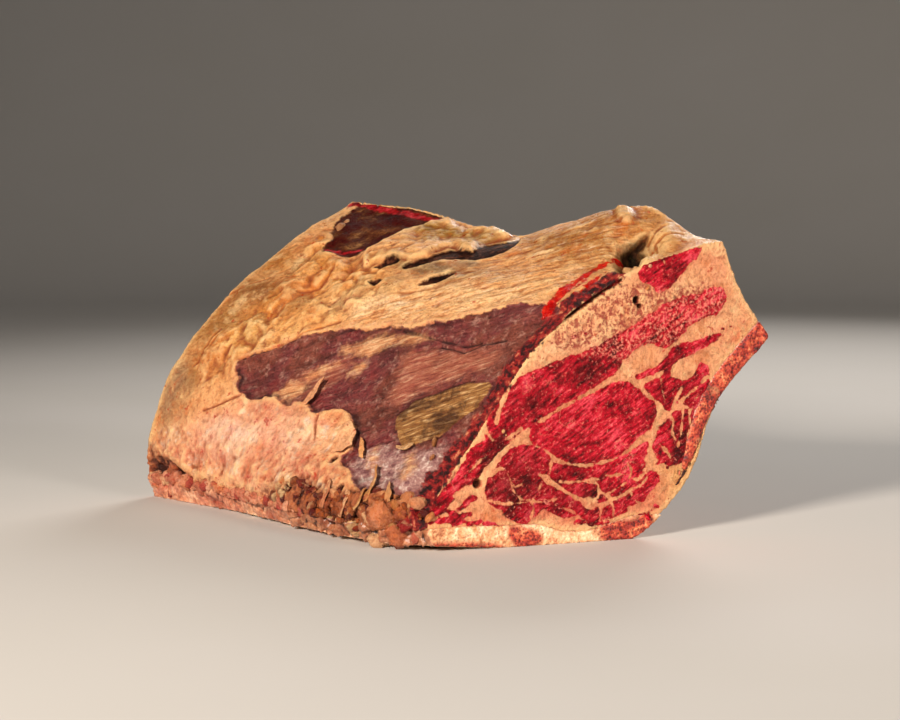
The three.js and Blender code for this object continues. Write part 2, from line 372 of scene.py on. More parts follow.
# %% Muscles on the near cut
MUSCLES = {
    "eye": [
        (529, 438), (533, 427), (546, 420), (560, 411), (575, 403), (592, 394), (606, 387), (616, 382),
        (632, 384), (640, 391), (648, 399), (655, 402), (656, 413), (653, 424), (646, 432), (636, 439),
        (630, 447), (615, 456), (600, 461), (585, 464), (572, 462), (558, 458), (548, 449), (536, 445),
    ],
    "cap": [
        (519, 379), (530, 373), (543, 369), (552, 363), (566, 359), (580, 354), (596, 350), (610, 350),
        (620, 356), (621, 364), (616, 372), (604, 380), (593, 388), (580, 395), (566, 403), (552, 411),
        (540, 419), (527, 428), (516, 436), (505, 444), (497, 454), (488, 464), (479, 476), (470, 484),
        (458, 490), (446, 500), (434, 513), (429, 512), (436, 501), (443, 492), (450, 484), (459, 473),
        (463, 462), (470, 452), (478, 445), (488, 441), (485, 432), (484, 422), (488, 411), (494, 404),
        (500, 398), (504, 391), (509, 385),
    ],
    "edge stripe": [
        (424, 516), (428, 502), (435, 485), (445, 466), (456, 449), (468, 434), (480, 418), (487, 409),
        (494, 402), (490, 411), (485, 418), (478, 427), (468, 440), (458, 456), (451, 469), (444, 480),
        (437, 490), (432, 502), (428, 512),
    ],
    "third stripe": [(455, 499), (447, 507), (437, 516), (433, 515), (444, 504), (452, 497)],
    "layer": [
        (575, 356), (590, 349), (605, 342), (624, 331), (645, 320), (655, 313), (664, 304), (680, 298),
        (698, 296), (712, 287), (722, 288), (727, 298), (720, 311), (704, 317), (690, 324), (684, 334),
        (673, 342), (662, 348), (650, 342), (641, 344), (632, 352), (622, 361), (608, 356), (590, 357),
    ],
    "tip": [
        (638, 272), (646, 264), (656, 257), (668, 251), (680, 247), (692, 242), (704, 240), (701, 249),
        (696, 258), (689, 262), (683, 271), (674, 281), (666, 290), (656, 293), (652, 284), (642, 281),
    ],
    "spine and straps": [
        (485, 490), (488, 478), (497, 466), (505, 456), (513, 449), (523, 445), (535, 447), (545, 451),
        (551, 460), (553, 465), (562, 465), (575, 467), (590, 467), (604, 464), (616, 461), (626, 456),
        (636, 450), (644, 441), (649, 441), (647, 450), (643, 458), (645, 466), (641, 472), (648, 473),
        (654, 471), (660, 478), (656, 486), (648, 492), (645, 500), (636, 505), (628, 505), (626, 513),
        (616, 516), (608, 519), (600, 518), (594, 521), (584, 519), (577, 512), (574, 516), (563, 517),
        (551, 511), (545, 507), (540, 510), (535, 517), (529, 522), (521, 522), (512, 520), (504, 514),
        (496, 508), (488, 503),
    ],
    "rib leaf and finger": [
        (643, 386), (652, 381), (662, 376), (667, 366), (671, 364), (668, 374), (676, 379), (684, 382),
        (692, 378), (697, 371), (700, 363), (706, 366), (709, 373), (708, 381), (715, 384), (713, 394),
        (710, 404), (704, 411), (697, 410), (690, 407), (684, 404), (678, 402), (673, 408), (668, 412),
        (664, 404), (657, 399), (649, 393),
    ],
    "rib belly": [
        (658, 430), (665, 422), (672, 413), (680, 410), (690, 408), (697, 412), (698, 422), (696, 434),
        (693, 447), (689, 457), (682, 463), (672, 465), (664, 463), (657, 455), (652, 449), (655, 441),
    ],
    "skin stripe": [(698, 414), (704, 408), (702, 420), (700, 433), (696, 441), (697, 428)],
    "thin layer": [
        (634, 378), (645, 372), (658, 366), (667, 357), (674, 347), (684, 344), (697, 341), (708, 337),
        (721, 331), (722, 337), (706, 346), (690, 353), (680, 358), (672, 364), (664, 370), (648, 376),
    ],
}
muscles = {name: cut_ring(*places) for name, places in MUSCLES.items()}
FAT_SEAMS = [
    # width in millimetres, line
    (3.4, [(516, 377), (508, 390), (503, 402), (499, 412), (497, 422)]),
    (2.4, [(488, 411), (484, 422), (486, 432), (493, 440)]),
    (0.9, [(500, 443), (510, 437), (522, 428)]),
    (1.7, [(469, 473), (477, 464), (486, 456)]),
    (1.2, [(488, 477), (500, 468), (506, 470), (510, 479), (513, 490), (520, 499), (531, 501)]),
    (1.0, [(531, 501), (538, 492), (541, 484)]),
    (1.0, [(510, 480), (515, 487), (523, 484)]),
    (2.8, [(540, 475), (549, 480), (557, 486), (566, 492), (577, 498), (585, 501)]),
    (1.8, [(549, 480), (550, 470), (552, 460)]),
    (1.5, [(560, 482), (572, 482), (586, 481), (597, 483), (600, 489), (598, 497)]),
    (1.9, [(586, 481), (600, 479), (606, 476), (618, 475), (628, 474)]),
    (1.9, [(600, 491), (606, 495), (614, 490), (624, 484), (629, 478), (632, 470), (626, 461)]),
    (2.4, [(606, 495), (612, 499), (622, 496), (630, 490), (641, 485), (647, 478)]),
    (1.5, [(629, 478), (638, 480), (646, 472)]),
    (1.4, [(630, 490), (633, 498), (640, 504)]),
    (2.4, [(585, 501), (592, 507), (600, 505), (608, 503), (612, 499)]),
    (1.8, [(600, 505), (601, 512), (600, 519)]),
    (1.6, [(612, 503), (614, 510), (613, 516)]),
    (1.5, [(552, 500), (556, 505), (566, 509), (575, 513)]),
    (1.4, [(531, 501), (534, 508), (531, 516)]),
    (1.5, [(490, 501), (505, 504), (520, 503), (531, 501), (545, 502), (556, 500), (566, 497)]),
    (1.4, [(661, 380), (662, 390), (665, 402)]),
    (2.0, [(681, 388), (678, 396), (672, 408)]),
    (2.2, [(708, 377), (697, 387), (688, 395), (680, 402)]),
    (1.5, [(690, 400), (700, 396), (709, 398)]),
    (1.4, [(683, 409), (682, 420), (681, 432), (678, 445)]),
    (1.3, [(670, 416), (674, 422), (672, 432), (676, 440)]),
    (1.3, [(660, 444), (665, 450), (670, 457), (673, 465)]),
    (1.3, [(690, 410), (690, 425), (687, 440), (688, 452)]),
]
FAT_PADS = [
    [(581, 499), (590, 498), (598, 499), (597, 508), (590, 510), (583, 508)],
    [(543, 474), (550, 475), (552, 482), (546, 483)],
]
RED_FLECKS = [
    # reach to each side in millimetres, line
    (1.8, [(430, 523), (446, 520), (462, 523), (480, 522), (502, 526)]),
    (2.2, [(459, 509), (466, 503), (473, 498)]),
    (1.6, [(436, 514), (446, 511), (456, 516), (470, 515)]),
    (1.8, [(576, 520), (590, 524), (606, 523)]),
    (2.0, [(640, 518), (650, 511), (655, 505)]),
    (0.4, [(566, 339), (580, 334), (596, 333)]),
    (0.4, [(722, 330), (738, 323)]),
    (0.8, [(653, 468), (660, 461), (668, 468)]),
]
fat_seams = [(width, cut_ring(*places)) for width, places in FAT_SEAMS]
fat_pads = [cut_ring(*places) for places in FAT_PADS]
red_flecks = [(reach, cut_ring(*places)) for reach, places in RED_FLECKS]
LEAN_SWELL = 0.8  # the rings were picked just inside each muscle


def lean_at(places):
    """Distance inside the nearest muscle, less the seams and pads of fat."""
    lean_parts = [inside(places, ring, 1) for ring in muscles.values()]
    fat_parts = [from_line(places, line) - width / 2 for width, line in fat_seams]
    fat_parts += [-inside(places, ring, 1) for ring in fat_pads]
    return np.minimum(np.max(lean_parts, axis=0) + LEAN_SWELL, np.min(fat_parts, axis=0))


near_places = on_cut(rest_points[near_cut])
near_rag = 1.2 * cloud(rest_points[near_cut], 9, 5, 2) + 1.1 * cloud(rest_points[near_cut], 3.4, 6, 2)
fleck_rag = 3.4 * cloud(rest_points[near_cut], 4.5, 9, 2)
flecks = np.max([reach - from_line(near_places, line) for reach, line in red_flecks], axis=0) + fleck_rag
lean = field(near_cut, np.maximum(lean_at(near_places) + near_rag, flecks))
print("lean on the near cut:", f"{(lean[near_cut] > 0).mean():.0%}")

# %% [markdown]
# Four more things mark the near cut: a dried dark crust along its fat edge, a gap where the layers have
# parted, crumbly fat smeared by the saw over the upper layers, and a few small holes.

# %% Crust, gap and crumbly fat on the near cut
crust_line = cut_ring(
    (424, 520), (438, 492), (452, 468), (466, 444), (480, 423), (493, 401), (506, 381), (520, 361),
    (536, 342), (556, 319), (578, 303), (600, 289), (620, 278),
)
gap_line = cut_ring((541, 338), (556, 326), (570, 316), (586, 304), (604, 291), (622, 280))
crumbly_fat = cut_ring(
    (545, 345), (556, 331), (576, 316), (600, 300), (622, 285), (640, 284), (660, 290), (690, 285),
    (716, 282), (724, 296), (700, 300), (680, 302), (660, 312), (640, 323), (615, 335), (590, 345),
    (565, 352),
)
CRUST_WIDTH = 17.0
EDGE_BAND = 40  # no part of the crust lies further behind the near cut
GAP_REACH = 3.0
crust_3d = crust_line[:, :1] * cut_along + crust_line[:, 1:] * (0, 0, 1) + cut_depth * cut_out
edge_part = (behind < EDGE_BAND) & (near_cut | outer)
crust_rag = 7 * cloud(rest_points[edge_part], 14, 10, 3)
rim = field(edge_part, CRUST_WIDTH - from_line(rest_points[edge_part], crust_3d) + crust_rag)
rim[near_cut] -= CRUST_WIDTH - 2.0  # the crust lies on the outer side and only just laps the cut
gap = field(near_cut, GAP_REACH - from_line(near_places, gap_line))
crumbly = field(near_cut, inside(near_places, crumbly_fat))
smeared_rings = [muscles["layer"], crumbly_fat]
smeared = field(near_cut, np.max([inside(near_places, ring) for ring in smeared_rings], axis=0))
pits = [((637, 300), 3.2), ((640, 306), 2.2), ((478, 484), 3.6), ((700, 245), 2.0)]
pit = field(near_cut, in_spots(near_places, pits, cut_ring))
print("crust points:", (rim > 0).sum(), "gap points:", (gap > 0).sum())

# %% [markdown]
# The outer side is fat that has dried in the air. It has torn open over the back muscle, which shows as a
# purple window with a tan sheet of tendon on it. Higher up there is a ridge of yellow fat with dark slots
# under it, a patch of dark red muscle at the far rib tips, and a pocket under the roll of fat at the near
# end.

# %% Marks on the outer side
side_places = on_side(rest_points[outer])
jagged = cloud(rest_points[outer], 17, 8, 4)


def side_field(*rings, jag=0.0):
    """Distance inside the nearest ring, with its edge made jagged by about that many millimetres."""
    return field(outer, np.max([inside(side_places, ring) for ring in rings], axis=0) + jag * jagged)


dried_window = side_ring(
    (237, 362), (250, 356), (270, 349), (290, 343), (300, 339), (320, 333), (345, 330), (360, 328),
    (373, 331), (383, 329), (392, 326), (402, 328), (420, 326), (440, 322), (460, 318), (480, 312),
    (500, 308), (520, 305), (545, 304), (556, 308), (548, 326), (533, 343), (517, 362), (503, 384),
    (488, 409), (470, 434), (455, 458), (440, 482), (430, 502), (424, 512), (410, 501), (396, 493),
    (385, 491), (375, 493), (366, 496), (352, 491), (350, 480), (345, 470), (339, 459), (351, 450),
    (358, 441), (352, 426), (344, 415), (337, 409), (325, 412), (311, 414), (306, 405), (299, 402),
    (290, 403), (278, 400), (268, 398), (255, 397), (245, 395), (239, 389), (241, 380), (236, 372),
)
NEAR_EDGE = 20
dried_window[dried_window[:, 0] < NEAR_EDGE, 0] = -10  # the window runs right out to the near cut
tendon_sheet = side_ring(
    (399, 411), (412, 402), (430, 394), (447, 388), (465, 383), (485, 380), (494, 383), (489, 392),
    (482, 401), (475, 410), (466, 413), (458, 418), (450, 426), (441, 433), (436, 437), (425, 441),
    (412, 444), (404, 449), (399, 442), (396, 432), (394, 421),
)
FAT_STREAKS = [
    [
        (333, 350), (350, 344), (365, 340), (383, 335), (400, 332), (420, 335), (436, 339), (420, 341),
        (402, 342), (386, 346), (373, 352), (366, 357), (356, 351), (345, 353),
    ],
    [(303, 377), (318, 369), (338, 361), (334, 366), (320, 373), (308, 379)],
    [(344, 373), (354, 365), (368, 358), (366, 365), (354, 373)],
    [(268, 394), (282, 385), (300, 381), (306, 388), (296, 396), (280, 399)],
    [(400, 472), (404, 458), (412, 450), (414, 462), (410, 478), (404, 480)],
    [(366, 470), (370, 455), (376, 445), (378, 458), (374, 472), (370, 478)],
]
pale_film = side_ring(
    (402, 352), (425, 347), (450, 350), (480, 352), (500, 348), (495, 362), (470, 372), (440, 382),
    (415, 393), (398, 405), (388, 400), (396, 378),
)
left_film = side_ring(
    (282, 386), (304, 372), (330, 361), (350, 354), (346, 370), (324, 388), (302, 397), (284, 396),
)
lilac_film = side_ring(
    (385, 445), (400, 452), (425, 446), (440, 440), (448, 448), (438, 470), (425, 492), (405, 495),
    (385, 485), (372, 488), (356, 485), (350, 470), (352, 455), (368, 448),
)
dark_tip = side_ring(
    (322, 222), (336, 212), (353, 203), (366, 206), (385, 210), (400, 213), (420, 217), (442, 220),
    (432, 225), (420, 227), (412, 230), (400, 233), (388, 241), (372, 247), (364, 252), (356, 256),
    (345, 259), (335, 255), (324, 256), (320, 249), (326, 244), (333, 241), (329, 236), (330, 228),
)
OVER_THE_TOP = 30
dark_tip[:9, 1] += OVER_THE_TOP  # its upper edge is the outline, so it goes on over the top
RED_LINES = [
    # reach to each side in millimetres, line
    (4.0, [(352, 203), (366, 204), (385, 208), (403, 212), (422, 216), (441, 220)]),
    (2.5, [(325, 250), (340, 252), (354, 250), (365, 248)]),
    (3.0, [(552, 312), (542, 322), (532, 334), (522, 348)]),
]
SLOTS = [
    [(374, 267), (384, 262), (394, 258), (398, 262), (388, 266), (378, 269)],
    [
        (404, 266), (414, 260), (430, 256), (440, 251), (452, 249), (466, 252), (478, 249), (490, 244),
        (505, 241), (520, 236), (527, 234), (520, 241), (508, 248), (494, 254), (480, 258), (466, 258),
        (450, 257), (438, 259), (424, 263), (412, 267),
    ],
    [
        (415, 286), (424, 280), (434, 276), (446, 273), (457, 271), (452, 276), (440, 280), (428, 284),
    ],
    [(370, 286), (377, 281), (385, 282), (379, 288)],
]
yellow_ridge = side_ring(
    (360, 263), (364, 253), (372, 247), (388, 241), (400, 233), (412, 230), (425, 225), (440, 222),
    (448, 217), (462, 219), (480, 223), (500, 227), (518, 233), (510, 239), (497, 242), (484, 245),
    (474, 249), (462, 250), (450, 247), (440, 250), (430, 255), (418, 258), (406, 261), (396, 257),
    (386, 261), (374, 265), (366, 270),
)
pocket = side_ring(
    (615, 252), (622, 246), (632, 242), (642, 236), (649, 234), (647, 245), (641, 255), (641, 265),
    (635, 271), (626, 276), (617, 273), (615, 262),
)
fat_roll = side_ring(
    (641, 266), (645, 252), (650, 240), (657, 229), (668, 222), (680, 229), (687, 240), (679, 248),
    (665, 256), (652, 263),
)
fat_nub = side_ring((615, 210), (625, 208), (635, 210), (638, 220), (628, 227), (618, 221))
BLOOD_LINES = [
    # reach to each side in millimetres, line
    (3.6, [(616, 260), (604, 264), (590, 271), (578, 280), (566, 290)]),
    (4.2, [(572, 285), (562, 293), (554, 301), (548, 310)]),
    (1.6, [(548, 308), (540, 320), (534, 330)]),
    (2.0, [(606, 272), (596, 279), (586, 287), (574, 296)]),
    (1.2, [(588, 274), (584, 282), (576, 288)]),
]
curl_hollow = side_ring(
    (146, 462), (158, 457), (175, 463), (189, 473), (195, 483), (180, 486), (162, 479), (148, 473),
)
dried = side_field(dried_window, jag=7)
sheet = side_field(tendon_sheet, jag=4)
streak = side_field(*[side_ring(*places) for places in FAT_STREAKS], jag=7)
film_pale = side_field(pale_film, left_film)
film_lilac = side_field(lilac_film)
slots = [side_ring(*places) for places in SLOTS]
LONG_SLOT_SWELL, SHORT_SLOT_SWELL = 2.0, 0.8
long_slots = side_field(*slots[:2], jag=3) + LONG_SLOT_SWELL
slot = np.maximum(long_slots, side_field(*slots[2:], jag=2) + SHORT_SLOT_SWELL)
tip = side_field(dark_tip, jag=6)
ridge = side_field(yellow_ridge, jag=4)
hollow = side_field(pocket)
roll = side_field(fat_roll)
nub = side_field(fat_nub)
curl = side_field(curl_hollow)
red_rim = field(outer, 5 * jagged + np.max([
    reach - from_line(rest_points[outer], np.array([side_point(*place) for place in places]))
    for reach, places in RED_LINES
], axis=0))
blood_reach = np.max([
    reach - from_line(side_places, side_ring(*places)) for reach, places in BLOOD_LINES
], axis=0)
blood = field(outer, blood_reach + 7 * jagged)
print("dried window:", f"{(dried[outer] > 0).mean():.0%} of the outer side")

# %% Cracks, lips and crumbs on the outer side
CRACKS = [
    [(203, 410), (215, 406), (228, 400), (240, 394)],
    [(399, 410), (414, 401), (432, 393), (452, 385), (472, 380)],
    [(402, 329), (418, 334), (436, 339), (462, 344), (480, 341)],
    [(440, 346), (462, 350), (480, 343), (505, 339)],
    [(314, 438), (315, 424), (319, 414)],
    [(556, 272), (566, 270), (578, 268)],
    [(650, 260), (658, 249), (668, 240), (680, 236)],
    [(648, 246), (655, 236), (664, 228)],
    [(212, 346), (218, 338), (226, 332)],
    [(196, 366), (204, 352), (212, 340), (220, 330)],
    [(228, 296), (244, 286), (262, 280), (282, 272)],
    [(300, 292), (318, 286), (330, 276), (336, 268)],
    [(240, 360), (262, 352), (290, 340), (318, 330), (340, 322)],
]
crack = np.full(len(rest_points), -OUTSIDE)
crack[outer] = np.min([from_line(side_places, side_ring(*places)) for places in CRACKS], axis=0)
HOLES = [
    # place, radius in millimetres
    ((228, 498), 7.0), ((239, 493), 4.5), ((196, 494), 4.0), ((205, 483), 3.0), ((287, 488), 5.0),
    ((268, 509), 4.0), ((310, 510), 6.0), ((333, 459), 4.5), ((341, 487), 4.5), ((392, 537), 4.5),
    ((400, 511), 5.5), ((420, 515), 5.0), ((366, 533), 4.0), ((397, 497), 3.0),
]
hole = field(outer, in_spots(side_places, HOLES, side_ring) + 3 * jagged)
crumb_edge = side_ring(
    (146, 452), (170, 457), (192, 476), (215, 488), (250, 494), (280, 484), (300, 476), (320, 488),
    (345, 490), (362, 486), (385, 490), (400, 496), (424, 510),
)
order = np.argsort(crumb_edge[:, 0])
crumb_top = np.interp(side_places[:, 0], crumb_edge[order, 0], crumb_edge[order, 1])
crumb = field(outer, crumb_top - side_places[:, 1])
print("crumbly edge:", (crumb > 0).sum(), "points")

# %% [markdown]
# Real relief comes next, as millimetres in or out along the surface. Bump in a material would cost less,
# but it vanishes at the outline and in the exported mesh. Hard fat dries into lobes and grains, muscle
# shrinks back below the fat around it, and the edge along the spine is torn into lumps and holes.

# %% Relief of the outer side
# depths and rises in millimetres
WINDOW_DEPTH, SLOT_DEPTH, TIP_DEPTH = 1.8, 2.4, 1.6
POCKET_DEPTH, CURL_DEPTH, HOLE_DEPTH = 17, 8, 6
SHEET_RISE, STREAK_RISE, LIP_RISE, CURL_LIP = 1.6, 0.8, 0.5, 1.2
RIDGE_RISE, ROLL_RISE, NUB_RISE = 4, 6, 4.5
CRACK_DEPTH, CRACK_WIDTH = 1.8, 1.2

ragged = 2.4 * cloud(rest_points, 8, 11, 3)
window_step = ease(dried + 0.5 * ragged, -0.4, 1.2)
sheet_step = ease(sheet + 0.5 * ragged, -0.3, 1.2)
streak_step = ease(streak + 0.6 * ragged, 0, 2.5)
slot_step = ease(slot + 0.4 * ragged, -0.8, 2.2)
dark_step = np.maximum(ease(tip + ragged, -1, 4), slot_step)
fat_cover = outer * (1 - window_step) * (1 - dark_step)
crumb_step = ease(crumb + 4 * ragged, -8, 12)

lobed_fat = side_ring(
    (185, 360), (205, 310), (255, 258), (320, 226), (345, 262), (370, 262), (390, 270), (415, 292),
    (370, 300), (330, 328), (290, 343), (240, 360), (205, 390),
)
rough_fat = side_ring(
    (150, 450), (165, 420), (200, 415), (250, 404), (300, 408), (340, 414), (352, 440), (340, 470),
    (360, 500), (320, 500), (260, 492), (200, 484), (155, 470),
)
lobe_zone = ease(side_field(lobed_fat), -14, 12)
rough_zone = ease(side_field(rough_fat) + 3 * ragged, -10, 12)
low_rough = rough_zone * ease(crumb + 4 * ragged, -34, 2)
bend = [cloud(rest_points[outer], 19, seed, 3) for seed in (22, 23, 24)]
warped = rest_points[outer] + 9 * np.stack(bend, axis=1)
lobe_top, lobe_number = grains(warped, 26, 31)
bead_top = grains(warped, 7.5, 37)[0]
knob_top, knob_number = grains(warped, 13, 33)
bead_cluster = ease(cloud(rest_points[outer], 26, 39, 2), 0.05, 0.35)
knob_cluster = ease(cloud(rest_points[outer], 34, 35, 2), 0.0, 0.3)

lift = outer * 1.6 * cloud(rest_points, 26, 21, 3)
lobes = 2.2 * ease(0.82 - lobe_top, 0, 0.4)
lobes += 4.2 * cloud(warped, 24, 25, 2) + 1.6 * cloud(warped, 10, 26, 2)
lobes += knob_cluster * 3.0 * (0.55 - knob_top) + bead_cluster * 1.6 * (0.6 - bead_top)
lift[outer] += lobe_zone[outer] * lobes
lift[outer] += (fat_cover * low_rough)[outer] * bead_cluster * 2.0 * (0.6 - bead_top)
lift += fat_cover * (0.7 * cloud(rest_points, 6, 42, 2) + 0.3 * cloud(rest_points, 2.6, 41))
rough_lumps = 2.4 * cloud(rest_points, 13, 43, 4) + 0.7 * cloud(rest_points, 3.4, 44, 2)
lift += fat_cover * rough_zone * (0.6 + low_rough) * rough_lumps
lift -= WINDOW_DEPTH * window_step
lift += fat_cover * LIP_RISE * np.exp(-(((dried + 2) / 2) ** 2))
lift += SHEET_RISE * sheet_step + STREAK_RISE * streak_step * window_step
lift -= SLOT_DEPTH * slot_step
lift -= TIP_DEPTH * ease(tip + ragged, -1, 4) * (1 + 0.8 * cloud(rest_points, 12, 53, 3))
ridge_step = ease(ridge + 0.6 * ragged, -0.5, 4)
lift[outer] += ridge_step[outer] * (RIDGE_RISE + 3.0 * (0.55 - knob_top) + 1.5 * (0.6 - bead_top))
lift += ROLL_RISE * ease(roll, -3, 9) + NUB_RISE * ease(nub + 0.4 * ragged, -1, 4)
lift -= POCKET_DEPTH * ease(hollow + 0.4 * ragged, -1.5, 8)
lift -= CURL_DEPTH * ease(curl + 0.6 * ragged, -1, 6)
lift += CURL_LIP * np.exp(-(((curl + 4) / 3) ** 2)) * outer
lift -= HOLE_DEPTH * ease(hole, 0, 4)
lift -= CRACK_DEPTH * np.exp(-(((crack + 0.5 * ragged) / CRACK_WIDTH) ** 2)) * (1 - sheet_step)
print(f"outer side: {lift[outer].min():.1f} to {lift[outer].max():.1f} mm")

# %% Fibres of the dried muscle
side_all = on_side(rest_points)
FIBRE_RISE = math.radians(34)  # the back muscle's fibres, and the fat over them, climb towards the near cut
FIBRE_STRETCH = 0.16
rise, run = math.sin(FIBRE_RISE), math.cos(FIBRE_RISE)
along_fibre = rise * side_all[:, 1] - run * side_all[:, 0]
across_fibre = run * side_all[:, 1] + rise * side_all[:, 0]
fibre_space = np.stack([FIBRE_STRETCH * along_fibre, across_fibre, np.zeros(len(rest_points))], axis=1)
CUT_STRETCH = 0.24  # on the near cut, flecks of fat lie slantwise and are shorter
slant = np.array([[CUT_STRETCH * run, CUT_STRETCH * rise], [-rise, run]])
fibre_space[near_cut, :2] = near_places @ slant.T
stringy_band = side_ring(
    (330, 330), (400, 290), (470, 262), (530, 240), (600, 212), (660, 205), (650, 240), (600, 270),
    (556, 300), (500, 306), (440, 320), (380, 328),
)
stringy = fat_cover * ease(side_field(stringy_band), -12, 14)
bare_muscle = window_step * (1 - sheet_step)
lift += bare_muscle * (1.1 * cloud(fibre_space, 13, 45, 3) + 0.4 * cloud(fibre_space, 3.2, 46))
lift += bare_muscle * 0.9 * cloud(rest_points, 24, 54, 3)
lift += sheet_step * (0.5 * cloud(rest_points, 16, 55, 2) + 0.3 * cloud(fibre_space, 3, 47))
string_lift = 1.1 * cloud(fibre_space, 8, 48, 3) + 0.4 * cloud(fibre_space, 2.6, 49)
lift += stringy * (string_lift + cloud(rest_points, 20, 50, 2))
print("stringy fat:", (stringy > 0.5).sum(), "points")

# %% [markdown]
# The torn edge along the spine runs over two solids, the meat and the spine itself. One function makes
# its lumps and holes from places in space, so it can be used on both and the lumps carry on across the
# join. Near the cut it is craggy. Further back it has been smoothed over by drying.

# %% Lumps of the torn edge
CRAG_END = side_ring((285, 500))[0][0]


def torn_lumps(points):
    """Millimetres of relief on the torn edge, and a number from 0 to 1 for each lump."""
    craggy = ease(CRAG_END - behind_cut(points), -50, 40)
    bent = points + 5 * np.stack([cloud(points, 10, seed, 3) for seed in (62, 63, 64)], axis=1)
    big, number = grains(bent, 17, 61)
    small, small_number = grains(bent, 7, 69)
    rise = (2.2 + 4.2 * craggy) * (0.55 - big) + (1.2 + 3.4 * craggy) * (number - 0.5)
    rise += (1.0 + 1.8 * craggy) * (0.6 - small) + 0.9 * cloud(points, 3.4, 65, 2)
    rise -= (1 + 4.5 * craggy) * ease(cloud(points, 13, 67, 2), 0.28, 0.55)
    return rise, np.where(small_number > 0.55, small_number / 0.45 - 1.22, number)


torn = crumb_step > 0.01
crumb_number = np.full(len(rest_points), 0.5)
torn_rise, crumb_number[torn] = torn_lumps(rest_points[torn])
lift[torn] += crumb_step[torn] * torn_rise
print(f"torn edge: {torn_rise.min():.1f} to {torn_rise.max():.1f} mm")

# %% [markdown]
# The far cut isn't in the photograph. It is finished like the near one, with the same muscles fitted to
# its own outline, but it has hung open in the air, so its lean has dried and shrunk further back.

# %% Relief of the cuts and hidden sides
def fitted(places, model):
    """Places on one cut moved and stretched to lie on the other."""
    low, high = places.min(axis=0), places.max(axis=0)
    model_low, model_high = model.min(axis=0), model.max(axis=0)
    return model_low + (places - low) / (high - low) * (model_high - model_low)


GAP_DEPTH = PIT_DEPTH = 4.5
FAR_SHRINK = 1.5
far_places = fitted(rest_points[far_cut][:, 1:], near_places)
lean[far_cut] = lean_at(far_places) + 1.2 * cloud(rest_points[far_cut], 7, 7, 2)
lift += near_cut * (0.7 * ease(lean + 0.4 * ragged, -0.4, 4) + 0.5 * cloud(rest_points, 7, 70, 3))
lift += near_cut * 0.3 * cloud(rest_points, 2.4, 71)
lift += far_cut * (-FAR_SHRINK * ease(lean + 0.4 * ragged, -0.6, 3) + 0.5 * cloud(rest_points, 4, 72, 2))
crumbly_step = ease(np.maximum(crumbly, smeared - 2) + ragged, 0, 4)
rim_step = ease(rim + 0.6 * ragged, 0, 3)
lift[near_cut] += crumbly_step[near_cut] * 1.6 * (0.55 - grains(rest_points[near_cut], 4, 73)[0])
crust_lumps = 3.5 * (0.55 - grains(rest_points[edge_part], 8, 75)[0])
crust_lumps += 1.4 * cloud(rest_points[edge_part], 4, 76, 2)
lift[edge_part] += rim_step[edge_part] * crust_lumps
lift -= GAP_DEPTH * ease(gap, 1.2, 2.6) + PIT_DEPTH * ease(pit + 0.3 * ragged, -0.5, 1.6)
lift += inner * (1.2 * cloud(rest_points, 26, 81, 2) + 0.35 * cloud(rest_points, 7, 83))
lift += rib_ends * (0.9 * cloud(rest_points, 9, 85, 2))
print(f"near cut: {lift[near_cut].min():.1f} to {lift[near_cut].max():.1f} mm")
move_points(meat, rest_points + lift[:, None] * rest_normals)

# %% [markdown]
# Along the rib ends the saw has gone through flat layers of lean and fat, as in bacon. Inside, the ribs
# lie under a thin membrane, with red muscle between them and fat towards the spine. Neither is in the
# photograph, so they follow from how such a joint is built.

# %% Lean on the rib ends and the inner side
ENDS_ACROSS, ENDS_HIGH = 140, 146  # the middle of the sawn rib ends
LAYER_TILT = 0.35
LAYER_TURN = 9.5  # a layer of lean with its fat takes 2 pi times this
up_end = rest_points[:, 2] - ENDS_HIGH + LAYER_TILT * (rest_points[:, 1] - ENDS_ACROSS)
layer_turns = up_end / LAYER_TURN + 1.1 * cloud(rest_points, 40, 91, 2)
layers = 9 * np.sin(layer_turns) + 4 * cloud(rest_points, 14, 92, 2)
lean[rib_ends] = layers[rib_ends]
RIB_PITCH = 53
FIRST_RIB, FOOT_BACK = 4, 6  # how far behind the near cut the first rib lies, and its foot further back
from_rib = behind - FIRST_RIB - FOOT_BACK * ease(150 - rest_points[:, 2], 0, 120)
between = 14 * np.cos(2 * np.pi * from_rib / RIB_PITCH + np.pi) + 6 * cloud(rest_points, 18, 93, 2)
lean[inner] = (between - 12 * ease(40 - rest_points[:, 2], -10, 25))[inner]
print("lean on the inner side:", f"{(lean[inner] > 0).mean():.0%}")

# %% [markdown]
# Crevices in the fat are painted darker brown as shade, and the tops paler as painted highlights. To know
# which is which, a smoothed surface is worked out, by setting every point to the average of its
# neighbours many times over. A point above that surface is on a bump, and one below it is in a crevice.

# %% How far each point stands above its surroundings
def relief_of(piece, passes):
    """Millimetres that each point stands above a smoothed copy of the surface."""
    edges = np.empty(len(piece.data.edges) * 2, np.int32)
    piece.data.edges.foreach_get("vertices", edges)
    start, end = edges.reshape(-1, 2).T
    count = len(piece.data.vertices)
    links = np.bincount(start, minlength=count) + np.bincount(end, minlength=count)
    points = points_of(piece)
    smooth = points.copy()
    for _ in range(passes):
        for axis in range(3):
            total = np.bincount(start, smooth[end, axis], count)
            total += np.bincount(end, smooth[start, axis], count)
            smooth[:, axis] = total / links
    return ((points - smooth) * normals_of(piece)).sum(axis=1)


SMOOTH_PASSES = 24
relief = relief_of(meat, SMOOTH_PASSES)
print("relief from", np.round(np.percentile(relief, [1, 50, 99]), 2), "mm")

# %% [markdown]
# Colours are written as the hex values a painter would pick on screen. Blender works in linear light, so
# one function turns one into the other.

